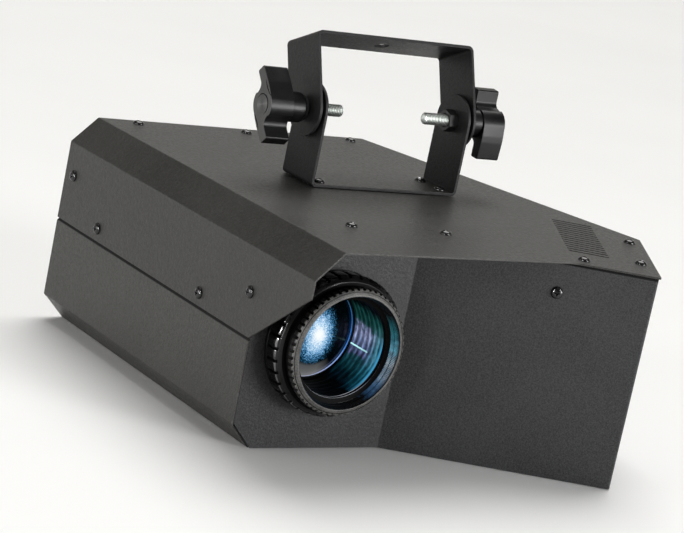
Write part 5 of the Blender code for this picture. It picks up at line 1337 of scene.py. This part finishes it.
# ---------------------------------------------------------------- inner nodes
for node, look in (("optics_frame", aluminium), ("wheel_motor", steel), ("effect_wheel", heatsink_black), ("condenser_lens", clear_glass),
                   ("led_board", board), ("led_heatsink", heatsink_black), ("fan_frame", moulded), ("fan_rotor", moulded),
                   ("psu_bracket", aluminium), ("power_supply", board), ("control_board", board)):
    ob = frame["nodes"][node]
    ob.data.materials.clear()
    ob.data.materials.append(look)
    b = ob.modifiers.new("edges", 'BEVEL')
    b.width = 0.2 * MM
    b.segments = 1
    b.limit_method = 'ANGLE'
    b.angle_limit = math.radians(50)

for ob in list(bench.objects):
    me = ob.data
    bpy.data.objects.remove(ob, do_unlink=True)
    if me.users == 0:
        bpy.data.meshes.remove(me)
bpy.data.collections.remove(bench)

# -------------------------------------------------------------------- studio
bm = bmesh.new()
bmesh.ops.create_grid(bm, x_segments=1, y_segments=1, size=30.0)
me = bpy.data.meshes.new("studio_floor")
bm.to_mesh(me)
bm.free()
floor = bpy.data.objects.new("studio_floor", me)
SCENE.collection.objects.link(floor)
floor.location = (0, 0, -0.0004)
k = Look("studio_floor")
k.b.inputs["Specular IOR Level"].default_value = 0.0
k.b.inputs["Roughness"].default_value = 1.0
k.base(k.ramp(k.noise(3.0, 2.0, 0.5), [(0.3, (0.94, 0.94, 0.94)), (0.7, (0.96, 0.96, 0.96))]))
me.materials.append(k.m)

world = bpy.data.worlds.new("studio")
SCENE.world = world
world.use_nodes = True
wt = world.node_tree
bg = wt.nodes["Background"]
tc = wt.nodes.new("ShaderNodeTexCoord")
sep = wt.nodes.new("ShaderNodeSeparateXYZ")
wt.links.new(tc.outputs["Generated"], sep.inputs[0])
sky = wt.nodes.new("ShaderNodeValToRGB")
ramp = sky.color_ramp
ramp.elements[0].position, ramp.elements[0].color = 0.0, (1.0, 1.0, 1.0, 1.0)
ramp.elements[1].position, ramp.elements[1].color = 1.0, (0.80, 0.80, 0.80, 1.0)
for pos, v in ((0.08, 0.84), (0.20, 0.46), (0.38, 0.24), (0.62, 0.12), (0.86, 0.32)):
    ramp.elements.new(pos).color = (v, 0.985 * v, 0.93 * v, 1.0)
wt.links.new(sep.outputs[2], sky.inputs["Fac"])
fade = wt.nodes.new("ShaderNodeMapRange")
for key, v in (("From Min", -0.7), ("From Max", 0.2), ("To Min", 0.5), ("To Max", 1.0)):
    fade.inputs[key].default_value = v
wt.links.new(sep.outputs[1], fade.inputs["Value"])
shade = wt.nodes.new("ShaderNodeMix")
shade.data_type, shade.blend_type = 'RGBA', 'MULTIPLY'
shade.inputs[0].default_value = 1.0
wt.links.new(sky.outputs["Color"], shade.inputs[6])
wt.links.new(fade.outputs["Result"], shade.inputs[7])
wt.links.new(shade.outputs[2], bg.inputs["Color"])
bg.inputs["Strength"].default_value = 1.0


def lamp(name, loc, aim, size, power, tint=(1, 1, 1)):
    li = bpy.data.lights.new(name, 'AREA')
    li.shape = 'DISK'
    li.size = size
    li.energy = power
    li.color = tint
    ob = bpy.data.objects.new(name, li)
    SCENE.collection.objects.link(ob)
    ob.location = loc
    ob.rotation_mode = 'QUATERNION'
    ob.rotation_quaternion = (Vector(aim) - Vector(loc)).to_track_quat('-Z', 'Y')
    ob.visible_camera = False
    return ob


sun = bpy.data.lights.new("soft_overhead", 'SUN')
sun.energy = 2.1
sun.angle = math.radians(44.0)
sun.color = (1.0, 0.99, 0.97)
sun_ob = bpy.data.objects.new("soft_overhead", sun)
SCENE.collection.objects.link(sun_ob)
sun_ob.rotation_euler = (math.radians(-20.0), math.radians(18.0), 0.0)
lamp("soft_left", (-1.9, 0.3, 0.35), (0.0, 0.0, 0.06), 0.8, 10.0)
lamp("soft_front", (1.25, -2.1, 0.35), (0.0, -0.1, 0.06), 1.2, 50.0)
spark_light = lamp("edge_glints", (-1.8, -0.9, 0.20), (-0.1, -0.1, 0.07), 0.30, 24.0)
spark_light.visible_diffuse = False
for name, place_at, size, power in (("screw_glints_left", (-1.76, -1.0, 1.0), 0.36, 18.0), ("screw_glints_right", (0.75, -1.9, 1.35), 0.30, 14.0)):
    lamp(name, place_at, (0.0, 0.0, 0.14), size, power).visible_diffuse = False

# -------------------------------------------------------------------- camera
az, el, roll = (math.radians(v) for v in (-35.685, 13.018, 11.722))
back = Vector((math.sin(az) * math.cos(el), -math.cos(az) * math.cos(el), math.sin(el)))
right = Vector((math.cos(az), math.sin(az), 0.0))
up = back.cross(right)
place = Matrix((right * math.cos(roll) + up * math.sin(roll), up * math.cos(roll) - right * math.sin(roll), back)).transposed().to_4x4()
place.translation = Vector((-799.7 - ORIGIN_X, -1112.2 - ORIGIN_Y, 448.5)) * MM
cam = bpy.data.cameras.new("camera")
cam.lens = 129.57
cam.sensor_width = 36.0
cam.clip_start = 0.02
cam.clip_end = 100.0
camera = bpy.data.objects.new("camera", cam)
SCENE.collection.objects.link(camera)
camera.matrix_world = place
SCENE.camera = camera
SCENE.view_settings.view_transform = 'Standard'
SCENE.view_settings.look = 'None'
